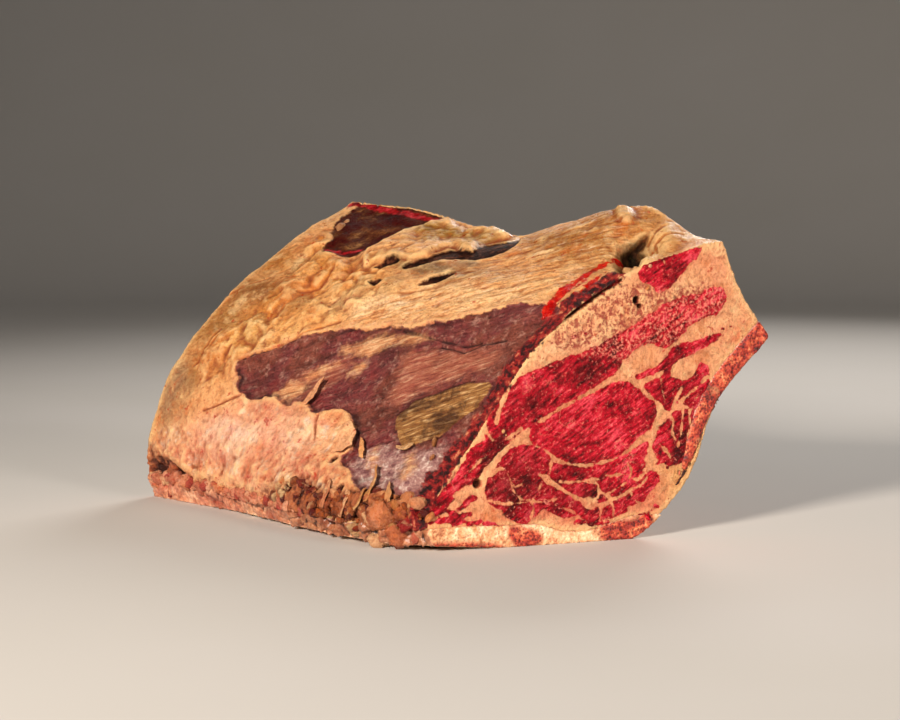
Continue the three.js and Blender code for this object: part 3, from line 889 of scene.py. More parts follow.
# %% Hex colours to linear light
def linear(hex_colour):
    """An sRGB hex value such as "e8b67c" as linear red, green, blue and full alpha."""
    channels = [int(hex_colour[i : i + 2], 16) / 255 for i in (0, 2, 4)]
    return [c / 12.92 if c <= 0.04045 else ((c + 0.055) / 1.055) ** 2.4 for c in channels] + [1.0]


print("cream fat in linear light:", np.round(linear("e8b67c"), 3))

# %% [markdown]
# Aged fat isn't one colour. It runs from pale cream through orange to a pink that shows the meat below,
# with grey where it has dried hardest. These broad tints are laid on the points themselves, each as a
# soft cloud with a colour, a place and a size, because they are too large and irregular for any pattern
# node. A few of the palest are painted highlights, glare of the light on the fat, and one dark red-brown
# cloud of the torn edge is painted shade inside the curled hollow at the bottom.

# %% Tints of the fat
FAT_TINTS_AND_HIGHLIGHTS = [
    # colour, place in the photograph, length and height in millimetres, strength
    # painted highlight: glare of the light on the cream fat
    ("fde0b4", (372, 306), 45, 15, 0.95),
    ("ffd8a4", (470, 296), 74, 18, 0.9),
    ("cf9a5c", (590, 256), 60, 20, 0.7),
    ("a87028", (566, 238), 64, 17, 0.95),
    ("a87028", (620, 218), 46, 17, 0.85),
    ("a8743c", (640, 228), 20, 10, 0.7),
    ("e8832c", (285, 315), 36, 13, 0.95),
    ("dc9440", (335, 272), 40, 17, 0.8),
    ("c07c30", (270, 262), 46, 20, 0.95),
    ("c88a44", (222, 318), 44, 30, 0.85),
    ("a86c34", (236, 292), 18, 12, 0.7),
    ("e8a860", (240, 338), 20, 10, 0.6),
    ("b88a58", (176, 404), 22, 44, 0.85),
    ("7c6444", (196, 374), 12, 15, 0.8),
    ("7a604c", (174, 390), 9, 24, 0.75),
    ("5e5038", (284, 290), 20, 5, 0.9),
    ("e8a084", (262, 436), 78, 34, 0.85),
    # painted highlight: glare on the pale pink fat
    ("fde4cc", (230, 438), 26, 14, 0.8),
    ("fbd6b4", (292, 424), 30, 12, 0.6),
    ("fbe0cc", (214, 426), 16, 10, 0.7),
    ("b84a48", (222, 458), 22, 7, 0.9),
    ("b84a48", (193, 456), 18, 8, 0.8),
    ("c46a54", (174, 448), 22, 12, 0.7),
    ("c85a50", (248, 474), 14, 6, 0.8),
    ("d07868", (270, 410), 30, 6, 0.7),
    ("c86058", (318, 420), 18, 6, 0.6),
    ("c47848", (322, 470), 44, 22, 0.85),
    ("7a484c", (303, 490), 12, 9, 0.85),
    ("e3a070", (345, 440), 16, 18, 0.6),
    ("946c14", (440, 236), 80, 14, 1.0),
    ("866640", (430, 268), 66, 10, 0.95),
    ("7c6654", (470, 262), 16, 5, 0.8),
    ("c88640", (664, 238), 30, 18, 0.8),
    ("9a6a30", (214, 326), 36, 26, 0.6),
    ("8c541c", (258, 292), 46, 15, 0.9),
    ("7c5028", (655, 250), 8, 7, 0.8),
    ("f2c48c", (669, 231), 10, 8, 0.7),
    ("c06c50", (282, 472), 58, 12, 0.65),
    ("d8948c", (205, 440), 20, 10, 0.6),
    # painted highlight: glare on the pale pink fat
    ("fdeee4", (240, 430), 18, 8, 0.85),
    ("fbe2d2", (285, 440), 26, 10, 0.6),
    ("cc7c72", (300, 465), 26, 10, 0.7),
    ("c86c60", (262, 455), 16, 6, 0.6),
]
LOW_TINTS_AND_SHADE = [
    # the same for the torn edge, laid over its lumps
    # painted shade: the dark inside of the curled hollow
    ("5c1a12", (168, 471), 20, 9, 0.97),
    ("e08458", (149, 477), 8, 8, 0.9),
    ("a83430", (172, 489), 20, 5, 0.6),
    ("f0bc98", (262, 488), 30, 10, 0.7),
    ("e8b08c", (225, 484), 26, 7, 0.7),
    ("b04038", (205, 497), 26, 5, 0.45),
    ("9c3428", (240, 503), 22, 4, 0.4),
    ("f2c09c", (290, 500), 14, 8, 0.5),
    ("702018", (330, 520), 14, 6, 0.6),
    ("7a3020", (395, 505), 12, 5, 0.6),
    ("5a1a14", (420, 512), 8, 8, 0.7),
    ("f6cca8", (190, 494), 12, 6, 0.7),
    ("8e2c24", (216, 503), 10, 5, 0.7),
    ("f4c49c", (252, 510), 14, 6, 0.7),
    ("a04030", (276, 516), 12, 6, 0.6),
    ("e8b080", (312, 526), 16, 7, 0.6),
    ("78340e", (322, 510), 76, 14, 0.75),
]
CUT_TINTS = [
    # the same for the fat of the near cut
    ("e06a44", (744, 342), 12, 16, 0.85),
    ("d86444", (724, 384), 10, 14, 0.8),
    ("e88858", (757, 330), 10, 10, 0.8),
    ("fcc89c", (575, 345), 40, 8, 0.8),
    ("fbc090", (512, 378), 20, 10, 0.7),
    ("f6a878", (460, 520), 30, 10, 0.7),
    ("e8ae6c", (676, 480), 16, 22, 0.8),
    ("dca060", (694, 448), 8, 16, 0.8),
    ("fbcc9c", (690, 300), 40, 14, 0.6),
    ("f09a74", (722, 262), 16, 20, 0.6),
    ("e87c60", (650, 500), 12, 12, 0.6),
    ("d86050", (600, 512), 40, 8, 0.6),
    ("dc6450", (530, 516), 40, 7, 0.6),
]


def soft_spot(places, middle, length, height, strength):
    """A share that is greatest in the middle of a spot and fades out round it."""
    return strength * np.exp(-(((places - middle) / (length, height)) ** 2).sum(axis=1))


def tinted(tone, points, tints, places_of=on_side, ring_of=side_ring):
    """Lays tints on the colours of points of the outer side, or with other places, of the near cut."""
    drift = np.stack([cloud(points, 22, 95, 4), cloud(points, 22, 96, 4)], axis=1)
    places = places_of(points) + 12 * drift
    for colour, place, *extent in tints:
        share = soft_spot(places, ring_of(place)[0], *extent)
        tone = tone + share[:, None] * (np.array(linear(colour)) - tone)
    return tone


def picked(colours, number):
    """One colour of a list for each point, by a number from 0 to 1."""
    palette = np.array([linear(colour) for colour in colours])
    return palette[(np.clip(number, 0, 0.999) * len(palette)).astype(int)]


CRAG_TONES = ("ba7642", "925228", "782c1c", "5e1812", "a86440", "844a2c")
DRIED_TONES = ("f0b894", "e6a080", "f6c8a4", "c05a4c", "eaac8c", "d48a6a")


def torn_tone(tone, points, number, share):
    """Colours of the torn edge: a lump is cream, orange, pink or red, and darker near the cut."""
    craggy = ease(CRAG_END - behind_cut(points), -50, 40)[:, None]
    lumps = craggy * picked(CRAG_TONES, number) + (1 - craggy) * picked(DRIED_TONES, number)
    return tone + share[:, None] * (lumps - tone)


tone = np.tile(np.array(linear("eeb276")), (len(rest_points), 1))
PLAIN_TONES = [
    (near_cut, "fab88a"), (far_cut, "d8a060"), (inner, "e6ae84"), (rib_ends, "ecaf78"), (under, "e2ae7c"),
]
for part, colour in PLAIN_TONES:
    tone[part] = linear(colour)
tone[outer] = tinted(tone[outer], rest_points[outer], FAT_TINTS_AND_HIGHLIGHTS)
tone[near_cut] = tinted(tone[near_cut], rest_points[near_cut], CUT_TINTS, on_cut, cut_ring)
lobe_tones = picked(("f0bc74", "d88c38", "cc7a30", "e8a860", "b48448"), lobe_number)
tone[outer] += (0.62 * lobe_zone * fat_cover)[outer, None] * (lobe_tones - tone[outer])
knob_share = (0.45 * lobe_zone * fat_cover)[outer] * knob_cluster * ease(0.6 - knob_top, 0, 0.2)
tone[outer] += knob_share[:, None] * (picked(("f8cf96", "eab468", "e8a050"), knob_number) - tone[outer])
tone = torn_tone(tone, rest_points, crumb_number, 0.7 * crumb_step)
tone[outer] = tinted(tone[outer], rest_points[outer], LOW_TINTS_AND_SHADE)
LEAN_SHADE_SPOTS = [
    # painted shade, the lean darker towards the bottom and outer edges of the cut: place on the near cut,
    # length and height in millimetres, strength
    ((516, 486), 34, 24, 1.0),
    ((575, 500), 60, 12, 0.6),
    ((690, 432), 14, 34, 0.7),
    ((530, 400), 36, 18, 0.4),
]
painted_lean_shade = np.zeros(len(rest_points))
for place, *extent in LEAN_SHADE_SPOTS:
    painted_lean_shade[near_cut] = np.maximum(painted_lean_shade[near_cut], soft_spot(near_places, cut_ring(place)[0], *extent))
print(len(FAT_TINTS_AND_HIGHLIGHTS), "tints of fat,", len(LEAN_SHADE_SPOTS), "darker spots of lean")

# %% [markdown]
# The fields go onto the mesh as named attributes, so that the material can read them. One mesh of the
# whole meat would be too heavy, so it is taken apart along its natural edges: the sawn face, the outer
# side in a near and a far half, and the rest. What the photograph shows keeps every point. The rest is
# thinned, except along its borders, where a moved point would open a gap. All four keep the whole meat's
# normals, so no join shows.

# %% The meat in four pieces
fields = {
    "lean_mm": lean,
    "dried_mm": dried,
    "sheet_mm": sheet,
    "streak_mm": streak,
    "pale_mm": film_pale,
    "lilac_mm": film_lilac,
    "tip_mm": tip,
    "red_rim_mm": red_rim,
    # the slots, the gap, the pits, the curled hollow and the holes, painted dark as shade
    "recess_shade_mm": np.max([slot, gap - 1.2, pit, curl - 8, hole - 1.5], axis=0),
    "pocket_mm": hollow,
    "blood_mm": blood,
    "crumb_mm": crumb,
    "rim_mm": rim,
    "smeared_mm": smeared,
    "relief_mm": relief,
    "painted_lean_shade": painted_lean_shade,
    "stringy": stringy,
    "rough": rough_zone * fat_cover,
    "fresh": near_cut.astype(float),
    "membrane": inner.astype(float),
}


def set_field(piece, name, values, kind="FLOAT", key="value"):
    """Gives each point of a piece a number, or with other kinds a direction or a colour."""
    layer = piece.data.attributes.new(name, kind, "POINT")
    layer.data.foreach_set(key, np.ascontiguousarray(values, np.float32).ravel())


def settle_normals(piece, normals):
    """Shades a piece smooth by given directions, so that it meets its neighbours without a seam."""
    piece.data.shade_smooth()
    piece.data.normals_split_custom_set_from_vertices(normals)


def thin(piece, triangles, locked=None):
    """Leaves about that many triangles, most where the surface bends, and keeps the locked points."""
    now = sum(len(face.vertices) - 2 for face in piece.data.polygons)
    if now > triangles:
        fewer = piece.modifiers.new("fewer", "DECIMATE")
        fewer.ratio = triangles / now
        if locked is not None:
            fewer.vertex_group = piece.vertex_groups.new(name="free").name
            piece.vertex_groups["free"].add(np.flatnonzero(~locked).tolist(), 1.0, "REPLACE")
        settle(piece)
    piece.data.shade_smooth()
    return len(piece.data.polygons)


corners = np.empty(len(meat.data.loops), np.int32)
meat.data.loops.foreach_get("vertex_index", corners)
squares = corners.reshape(-1, 4)
meat_points, meat_normals = points_of(meat), normals_of(meat)
on_face = near_cut[squares].sum(axis=1) >= 2
on_outer = (outer[squares].sum(axis=1) >= 2) & ~on_face
far_half = behind[squares].mean(axis=1) > np.median(behind[outer])
SHARES = {
    "sawn_rib_eye_face": on_face,
    "air_dried_side_near": on_outer & ~far_half,
    "air_dried_side_far": on_outer & far_half,
    "rib_side_and_base": ~on_face & ~on_outer,
}
uses = np.zeros(len(meat_points), int)
for share in SHARES.values():
    uses[np.unique(squares[share])] += 1
REST_TRIANGLES = 150000
beef_pieces = []
for name, share in SHARES.items():
    used, corners = np.unique(squares[share], return_inverse=True)
    mesh = bpy.data.meshes.new(name)
    mesh.from_pydata(meat_points[used] * MM, [], corners.reshape(-1, 4))
    piece = in_scene(name, mesh)
    for field_name, values in fields.items():
        set_field(piece, field_name, values[used])
    set_field(piece, "fibre", fibre_space[used] * MM, "FLOAT_VECTOR", "vector")
    set_field(piece, "fat_tone", tone[used], "FLOAT_COLOR", "color")
    normals = meat_normals[used]
    if name == "rib_side_and_base":
        set_field(piece, "whole_normal", normals, "FLOAT_VECTOR", "vector")
        thin(piece, REST_TRIANGLES, locked=uses[used] > 1)
        normals = np.empty(len(piece.data.vertices) * 3, np.float32)
        piece.data.attributes["whole_normal"].data.foreach_get("vector", normals)
        normals = normals.reshape(-1, 3)
    settle_normals(piece, normals)
    beef_pieces.append(piece)
    print(f"{name}: {len(piece.data.polygons)} faces")
bpy.data.objects.remove(meat)

# %% [markdown]
# Every material is a graph of small nodes. One function adds a node, sets its settings and fills its
# inputs with numbers or with other nodes' outputs. The short ones after it are the steps that come again
# and again, so that a line reads as what is done to the meat. Pattern scales come from real sizes in
# millimetres.

# %% One function for all nodes
def add(tree, kind, links=None, out=0, ramp=None, **settings):
    """Adds a shader node and returns one of its outputs."""
    node = tree.nodes.new("ShaderNode" + kind)
    for name, value in settings.items():
        setattr(node, name, value)
    for place, (position, colour) in enumerate(ramp or []):
        stops = node.color_ramp.elements
        stop = stops[place] if place < 2 else stops.new(position)
        stop.position, stop.color = position, linear(colour)
    for name, value in (links or {}).items():
        if isinstance(value, bpy.types.NodeSocket):
            tree.links.new(value, node.inputs[name])
        else:
            node.inputs[name].default_value = value
    return node.outputs[out] if node.outputs else None


def cover(tree, share, below, above, how="MIX"):
    """Lays one colour over another by a share. The upper one may be a hex value."""
    above = linear(above) if isinstance(above, str) else above
    return add(tree, "Mix", {0: share, 6: below, 7: above}, out=2, data_type="RGBA", blend_type=how)


def shade(tree, share, below, above):
    """Darkens a colour by another, as a shadow or a stain does."""
    return cover(tree, share, below, above, "MULTIPLY")


def painted(tree, pattern, stops):
    """A colour for each value of a pattern, from stops of position and hex value."""
    return add(tree, "ValToRGB", {"Fac": pattern}, ramp=stops)


def spread(tree, value, start, end, low=0.0, high=1.0, **settings):
    """Stretches the values from start to end over low to high."""
    return add(tree, "MapRange", {0: value, 1: start, 2: end, 3: low, 4: high}, **settings)


def midway(tree, share, first, second):
    """A number on the way from one to another."""
    return add(tree, "Mix", {0: share, 2: first, 3: second}, data_type="FLOAT")


def times(tree, first, second):
    """One number times another, so that both have to be high."""
    return add(tree, "Math", {0: first, 1: second}, operation="MULTIPLY")


def larger(tree, first, second):
    """The larger of two numbers, so that either is enough."""
    return add(tree, "Math", {0: first, 1: second}, operation="MAXIMUM")


def read(tree, name):
    """The number that a field has left on each point."""
    return add(tree, "Attribute", out="Fac", attribute_name=name)


def noise(tree, vector, size_mm, detail, roughness, distortion=0.0):
    """Noise with lumps of that size, and finer lumps inside them."""
    return add(tree, "TexNoise", {
        "Vector": vector, "Scale": 1 / MM / size_mm, "Detail": detail, "Roughness": roughness,
        "Distortion": distortion,
    })


def cells(tree, vector, size_mm, feature):
    """Packed cells of that size: the distance to each one's edge, or with F1 to its middle."""
    links = {"Vector": vector, "Scale": 1 / MM / size_mm}
    return add(tree, "TexVoronoi", links, out="Distance", feature=feature)


def new_material(name):
    """An empty material and its graph."""
    material = bpy.data.materials.new(name)
    material.use_nodes = True
    material.node_tree.nodes.clear()
    return material, material.node_tree


beef, tree = new_material("raw_beef_sawn_and_air_dried")
where = add(tree, "TexCoord", out="Object")
fibre = add(tree, "Attribute", out="Vector", attribute_name="fibre")
tint = add(tree, "Attribute", out="Color", attribute_name="fat_tone")
fresh, film, stringy_share, rough_share, relief_mm, painted_shade_share = [
    read(tree, name) for name in ("fresh", "membrane", "stringy", "rough", "relief_mm", "painted_lean_shade")
]
print("material:", beef.name)

# %% [markdown]
# Nothing on meat ends in a clean line. Each mark's distance field gets some noise added before it is cut
# off, so that its edge wanders by a few millimetres. A narrow cut-off makes a torn edge, a wide one a
# stain.

# %% Ragged masks from the fields
torn_noise = noise(tree, where, 5, 5, 0.64)
torn_part = add(tree, "Math", {0: torn_noise, 1: 0.5}, operation="SUBTRACT")
MASKS = {
    # field: wander in mm, then where it starts and where it is full, in mm
    "lean_mm": (4.0, -0.4, 0.4),
    "dried_mm": (6.0, -0.3, 0.9),
    "sheet_mm": (4.0, -0.2, 0.8),
    "streak_mm": (16.0, -4.0, 6.0),
    "pale_mm": (22.0, -6.0, 7.0),
    "lilac_mm": (20.0, -6.0, 7.0),
    "tip_mm": (7.0, -0.8, 1.6),
    "red_rim_mm": (10.0, -1.5, 2.0),
    "recess_shade_mm": (5.0, -0.6, 1.4),
    "pocket_mm": (8.0, -3.0, 5.0),
    "blood_mm": (14.0, -0.8, 1.4),
    "crumb_mm": (26.0, -8.0, 8.0),
    "rim_mm": (24.0, -1.0, 3.0),
    "smeared_mm": (10.0, -2.5, 2.5),
}
mask = {}
for name, (wander_mm, start, full) in MASKS.items():
    distance = read(tree, name)
    wandering = add(tree, "Math", {0: torn_part, 1: wander_mm, 2: distance}, operation="MULTIPLY_ADD")
    mask[name] = spread(tree, wandering, start, full, interpolation_type="SMOOTHSTEP")
crevice = spread(tree, relief_mm, -0.9, -0.05, 1.0, 0.0)
top = spread(tree, relief_mm, 0.05, 0.8)
print(len(mask), "masks")

# %% [markdown]
# Hard fat is cream to orange, waxy and grainy. Its broad tints are already on the points. The nodes add
# what is smaller: grit and mottling, pale strings of connective tissue, a brown painted shade in the
# crevices, a pale painted highlight on the tops, and specks of blood. Four noises do it, each with finer
# noise inside it, and the whole material shares them.

# %% Fat
grit = noise(tree, where, 2.2, 4, 0.66)
mottle = noise(tree, where, 7, 8, 0.72)
blotch = noise(tree, where, 28, 10, 0.7, 0.4)
strings = noise(tree, fibre, 3, 8, 0.74)
grit_shade = painted(tree, grit, [(0.36, "a87454"), (0.48, "f2e4d8"), (0.56, "ffffff")])
mottle_shade = painted(tree, mottle, [(0.36, "a06848"), (0.47, "f2e2d0"), (0.56, "ffffff")])
fat = shade(tree, 0.4, tint, grit_shade)
fat = shade(tree, 0.55, fat, mottle_shade)
stain = spread(tree, blotch, 0.54, 0.66, 0.0, 0.6)
fat = cover(tree, stain, fat, "cc6a26")
chalk = spread(tree, blotch, 0.35, 0.46, 0.65, 0.0)
fat = cover(tree, chalk, fat, "fad49c")
stringed = painted(tree, strings, [
    (0.36, "b07c4c"), (0.44, "ecd2b4"), (0.49, "ffffff"), (0.6, "ffffff"),
])
fat = shade(tree, stringy_share, fat, stringed)
pale_string = spread(tree, strings, 0.54, 0.64, 0.0, 0.5)
pale_string = times(tree, pale_string, stringy_share)
fat = cover(tree, pale_string, fat, "fff0d2")
pink_noise = midway(tree, 0.45, blotch, mottle)
raw_pink = painted(tree, pink_noise, [
    (0.41, "fff2e4"), (0.46, "f8c6a0"), (0.53, "e2926c"), (0.58, "c8604e"), (0.63, "9c2c2c"),
])
pink_share = times(tree, rough_share, 0.42)
fat = cover(tree, pink_share, fat, raw_pink)
# painted shade: the fat is darkened brown in its crevices
crevice_shade = times(tree, crevice, 0.9)
fat = cover(tree, crevice_shade, fat, "8e4420")
# painted highlight: the tops of the bumps are made paler
top_highlight = times(tree, top, 0.45)
fat = cover(tree, top_highlight, fat, "ffd698")
speck = spread(tree, mottle, 0.61, 0.65, 0.0, 0.8)
fat = cover(tree, speck, fat, "ae2412")
print("fat over", len(tree.nodes), "nodes so far")

# %% [markdown]
# Juice from the lean stains the fat beside it, on the cut and round the dried window. The distance fields
# are there already, so the stain is only a wide, weak cut-off of the same field.

# %% Stains beside the lean
STAINS = [
    # field, where the stain ends in millimetres (minus is outside), greatest share, colour
    ("lean_mm", -6.0, 0.36, "d2583e"),
    ("dried_mm", -9.0, 0.55, "b4604e"),
]
for name, ends_at, share, colour_hex in STAINS:
    distance = read(tree, name)
    blush = spread(tree, distance, ends_at, 0.5, 0.0, share)
    patchy = spread(tree, mottle, 0.42, 0.56)
    blush = times(tree, blush, patchy)
    fat = cover(tree, blush, fat, colour_hex)
print(len(STAINS), "stains")

# %% [markdown]
# Fresh lean is deep wet red, cut across the grain, so its fibres show as fine mottling. Marbling is fat
# in flecks and thin threads: where a soft noise passes through its middle value there is a line, and a
# second noise lets those lines show only in places. Small pale glints are painted in with the flecks as
# painted highlights, and the lean is painted darker as shade towards the bottom and outer edges of the
# cut. The saw has smeared fat over the upper layers as pale crumbs. Lean that has dried is brown, with
# no marbling left to see.

# %% Lean with marbling, painted glints and painted shade
grain = midway(tree, 0.55, blotch, strings)
wet_lean = painted(tree, grain, [
    (0.41, "700010"), (0.47, "b00420"), (0.52, "d8102e"), (0.58, "f85064"),
])
lean_shade = painted(tree, grit, [(0.36, "7c3038"), (0.48, "f0e4e4"), (0.58, "ffffff")])
wet_lean = shade(tree, 0.4, wet_lean, lean_shade)
bundles = cells(tree, where, 3.4, "DISTANCE_TO_EDGE")
bundle_shade = painted(tree, bundles, [(0.0, "6a2028"), (0.14, "ffffff")])
wet_lean = shade(tree, 0.12, wet_lean, bundle_shade)
grain_shade = painted(tree, strings, [(0.38, "68202a"), (0.48, "f4e0e0"), (0.52, "ffffff")])
wet_lean = shade(tree, 0.6, wet_lean, grain_shade)
clouded = painted(tree, blotch, [(0.38, "7c3438"), (0.5, "ffffff")])
wet_lean = shade(tree, 0.6, wet_lean, clouded)
# painted shade: the lean is darker towards the bottom and the outer edges of the cut
shaded_wet_lean = shade(tree, 0.8, wet_lean, "8c3a48")
wet_lean = cover(tree, painted_shade_share, wet_lean, shaded_wet_lean)
fleck = spread(tree, strings, 0.6, 0.68, 0.0, 0.6)
# painted highlight: small pale glints of wet light, laid on with the flecks
painted_glint = spread(tree, grit, 0.6, 0.66, 0.0, 0.6)
fleck = larger(tree, fleck, painted_glint)
course = noise(tree, where, 18, 5, 0.5, 0.6)
off_middle = add(tree, "Math", {0: course, 1: 0.5}, operation="SUBTRACT")
off_middle = add(tree, "Math", {0: off_middle}, operation="ABSOLUTE")
thread = spread(tree, off_middle, 0.0, 0.011, 0.75, 0.0, interpolation_type="SMOOTHSTEP")
thread_here = spread(tree, blotch, 0.48, 0.6)
thread = times(tree, thread, thread_here)
marbling_and_glints = larger(tree, fleck, thread)
smear = spread(tree, grit, 0.48, 0.62, 0.0, 0.85)
smear = times(tree, smear, mask["smeared_mm"])
marbling_and_glints = larger(tree, marbling_and_glints, smear)
wet_lean = cover(tree, marbling_and_glints, wet_lean, "f29680")
dry_lean = painted(tree, mottle, [(0.36, "2c0e0c"), (0.5, "5a241e"), (0.64, "82443a")])
lean_colour = cover(tree, fresh, dry_lean, wet_lean)
crumb_noise = midway(tree, 0.4, mottle, grit)
red_crumb = spread(tree, crumb_noise, 0.45, 0.53, 0.85, 0.0)
red_crumb = times(tree, red_crumb, mask["smeared_mm"])
fat = cover(tree, red_crumb, fat, "9a2c28")
print("lean over", len(tree.nodes), "nodes so far")

# %% [markdown]
# The muscle in the window has dried to a mauve-brown skin with its fibres in streaks, and tendon lies on
# it as a tan sheet. The fibres follow their own attribute, stretched along the muscle, so the streaks run
# the way the real ones do. Thin dried films, tan above and lilac below, veil parts of it.

# %% Dried muscle and tendon
purple = painted(tree, strings, [
    (0.36, "581a20"), (0.46, "7c302f"), (0.54, "924440"), (0.64, "b06c60"),
])
drift = noise(tree, where, 40, 6, 0.6)
plum = painted(tree, drift, [
    (0.36, "7c2024"), (0.44, "6a2c34"), (0.5, "84423c"), (0.56, "744026"), (0.64, "9a5c48"),
])
purple = cover(tree, 0.55, purple, plum)
cloudy = painted(tree, blotch, [(0.38, "80403c"), (0.5, "f4e4e2"), (0.6, "ffffff")])
purple = shade(tree, 0.6, purple, cloudy)
dusty = spread(tree, mottle, 0.53, 0.64, 0.0, 0.6)
purple = cover(tree, dusty, purple, "c29484")
gritty = painted(tree, grit, [(0.38, "8c6c6c"), (0.5, "ffffff")])
purple = shade(tree, 0.7, purple, gritty)
tan_film = painted(tree, strings, [
    (0.36, "84382c"), (0.47, "ac5c46"), (0.55, "c67e60"), (0.63, "ecbc9a"),
])
tan_share = times(tree, mask["pale_mm"], 0.65)
purple = cover(tree, tan_share, purple, tan_film)
lilac = painted(tree, mottle, [
    (0.38, "70444a"), (0.48, "a87c78"), (0.56, "cca69c"), (0.63, "f4e4da"),
])
lilac_share = times(tree, mask["lilac_mm"], 0.8)
purple = cover(tree, lilac_share, purple, lilac)
# painted shade in the crevices of the dried muscle
purple = cover(tree, crevice_shade, purple, "300e0e")
tendon = painted(tree, strings, [
    (0.36, "6c4020"), (0.47, "946234"), (0.55, "b4844c"), (0.63, "e4c090"),
])
tendon_shade = painted(tree, blotch, [(0.42, "66442c"), (0.52, "f4ece4"), (0.6, "ffffff")])
tendon = shade(tree, 0.8, tendon, tendon_shade)
streak_fat = painted(tree, strings, [(0.36, "b06a44"), (0.48, "dc9662"), (0.6, "f8cc9c")])
print("window over", len(tree.nodes), "nodes so far")

# %% Dark muscle, painted shade in recesses, blood, crust and crumbs
# painted shade: the near-black inside slots, the gap, pits and holes
recess_shade = painted(tree, mottle, [(0.4, "0c0302"), (0.52, "2e120c"), (0.64, "6a3c28")])
tip_meat = painted(tree, blotch, [
    (0.36, "280202"), (0.46, "480a06"), (0.53, "4c2012"), (0.6, "6c3c20"), (0.68, "a87c4c"),
])
tip_meat = shade(tree, 0.7, tip_meat, gritty)
# painted shadow: the dark inside of the pocket under the roll of fat
pocket_shadow = painted(tree, mottle, [(0.36, "0c0804"), (0.52, "20180c"), (0.66, "54401f")])
blood_colour = painted(tree, mottle, [(0.36, "8c0604"), (0.5, "c40c08"), (0.64, "e43820")])
rim_colour = painted(tree, mottle, [(0.38, "5a0408"), (0.5, "9c0a14"), (0.62, "c8343c")])
crust = painted(tree, mottle, [
    (0.38, "140404"), (0.46, "3c0c0e"), (0.52, "8a1418"), (0.58, "a83028"), (0.65, "d88c64"),
])
crumb_shade = painted(tree, mottle, [(0.36, "40120a"), (0.48, "a8643e"), (0.58, "fff0dc")])
crumbs = shade(tree, 0.9, tint, crumb_shade)
crumbs = shade(tree, 0.8, crumbs, grit_shade)
# painted shade in the crevices between the crumbs, and a painted highlight on their tops
crumbs = cover(tree, crevice, crumbs, "34120a")
crumbs = cover(tree, top_highlight, crumbs, "c8744a")
print("dark parts over", len(tree.nodes), "nodes so far")

# %% [markdown]
# The layers go on as they lie on the joint: fat with the crumbs of its torn edge, then lean where it is
# cut, then the dried window with its streaks and tendon, then the dark muscle, the painted shade of the
# recesses and the pocket, the crust and the blood.
# The membrane on the inner side is a thin pale film over all of it. Wet lean and blood also get a thin
# clear coat, which gives the small sharp glints of a fresh cut, while dried fat stays waxy.

# %% Layers of the beef in order
streak_share = times(tree, mask["streak_mm"], 0.85)
LAYERS = [
    # share, colour, roughness
    (mask["lean_mm"], lean_colour, 0.34),
    (mask["dried_mm"], purple, 0.44),
    (streak_share, streak_fat, 0.42),
    (mask["sheet_mm"], tendon, 0.36),
    (mask["tip_mm"], tip_meat, 0.55),
    (mask["red_rim_mm"], rim_colour, 0.4),
    (mask["recess_shade_mm"], recess_shade, 0.62),
    (mask["pocket_mm"], pocket_shadow, 0.6),
    (mask["rim_mm"], crust, 0.5),
    (mask["blood_mm"], blood_colour, 0.2),
]
colour = cover(tree, mask["crumb_mm"], fat, crumbs)
roughness = spread(tree, mottle, 0.4, 0.6, 0.5, 0.26)
for share, layer_colour, layer_roughness in LAYERS:
    colour = cover(tree, share, colour, layer_colour)
    roughness = midway(tree, share, roughness, layer_roughness)
film_share = spread(tree, mottle, 0.36, 0.66, 0.2, 0.7)
film_share = times(tree, film_share, film)
colour = cover(tree, film_share, colour, "d9a088")
roughness = midway(tree, film, roughness, 0.3)
fine = add(tree, "Math", {0: strings, 1: mask["dried_mm"], 2: grit}, operation="MULTIPLY_ADD")
fine = add(tree, "Math", {0: mottle, 1: 1.4, 2: fine}, operation="MULTIPLY_ADD")
bumps = add(tree, "Bump", {"Strength": 1.0, "Distance": 2.2 * MM, "Height": fine})
wet = times(tree, mask["lean_mm"], fresh)
wet = larger(tree, wet, mask["blood_mm"])
shine = spread(tree, wet, 0.0, 1.0, 0.5, 0.18)
for dull in ("tip_mm", "recess_shade_mm", "pocket_mm"):
    matt = spread(tree, mask[dull], 0.0, 1.0, 1.0, 0.25)
    shine = times(tree, shine, matt)
wet = times(tree, wet, 0.14)
surface = add(tree, "BsdfPrincipled", {
    "Base Color": colour,
    "Roughness": roughness,
    "Normal": bumps,
    "IOR": 1.4,
    "Specular IOR Level": shine,
    "Subsurface Weight": 0.08,
    "Subsurface Radius": (1.0, 0.35, 0.2),
    "Subsurface Scale": 2 * MM,
    "Coat Weight": wet,
    "Coat Roughness": 0.1,
    "Coat Normal": bumps,
})
add(tree, "OutputMaterial", {"Surface": surface})


def dress(piece, material, slot_name, *nodes):
    """Gives a piece its material, sets it on the joint, and hides the CAD nodes that it takes the place of.
    """
    piece.data.materials.clear()
    piece.data.materials.append(material)
    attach(piece, "root")
    if nodes:
        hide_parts(*nodes)


for piece in beef_pieces:
    dress(piece, beef, "meat", "meat")
print("beef:", len(tree.nodes), "nodes on", len(beef_pieces), "pieces")

# %% [markdown]
# The bones are dressed the same way. Each is a dense copy of its solid, swollen by nearly a millimetre so
# that no gap shows between bone and meat. The saw leaves a spongy face, pale in places and red with
# marrow in others. Elsewhere a rib is under its membrane, and the outer edge of the spine is part of the
# torn, crumbly edge.

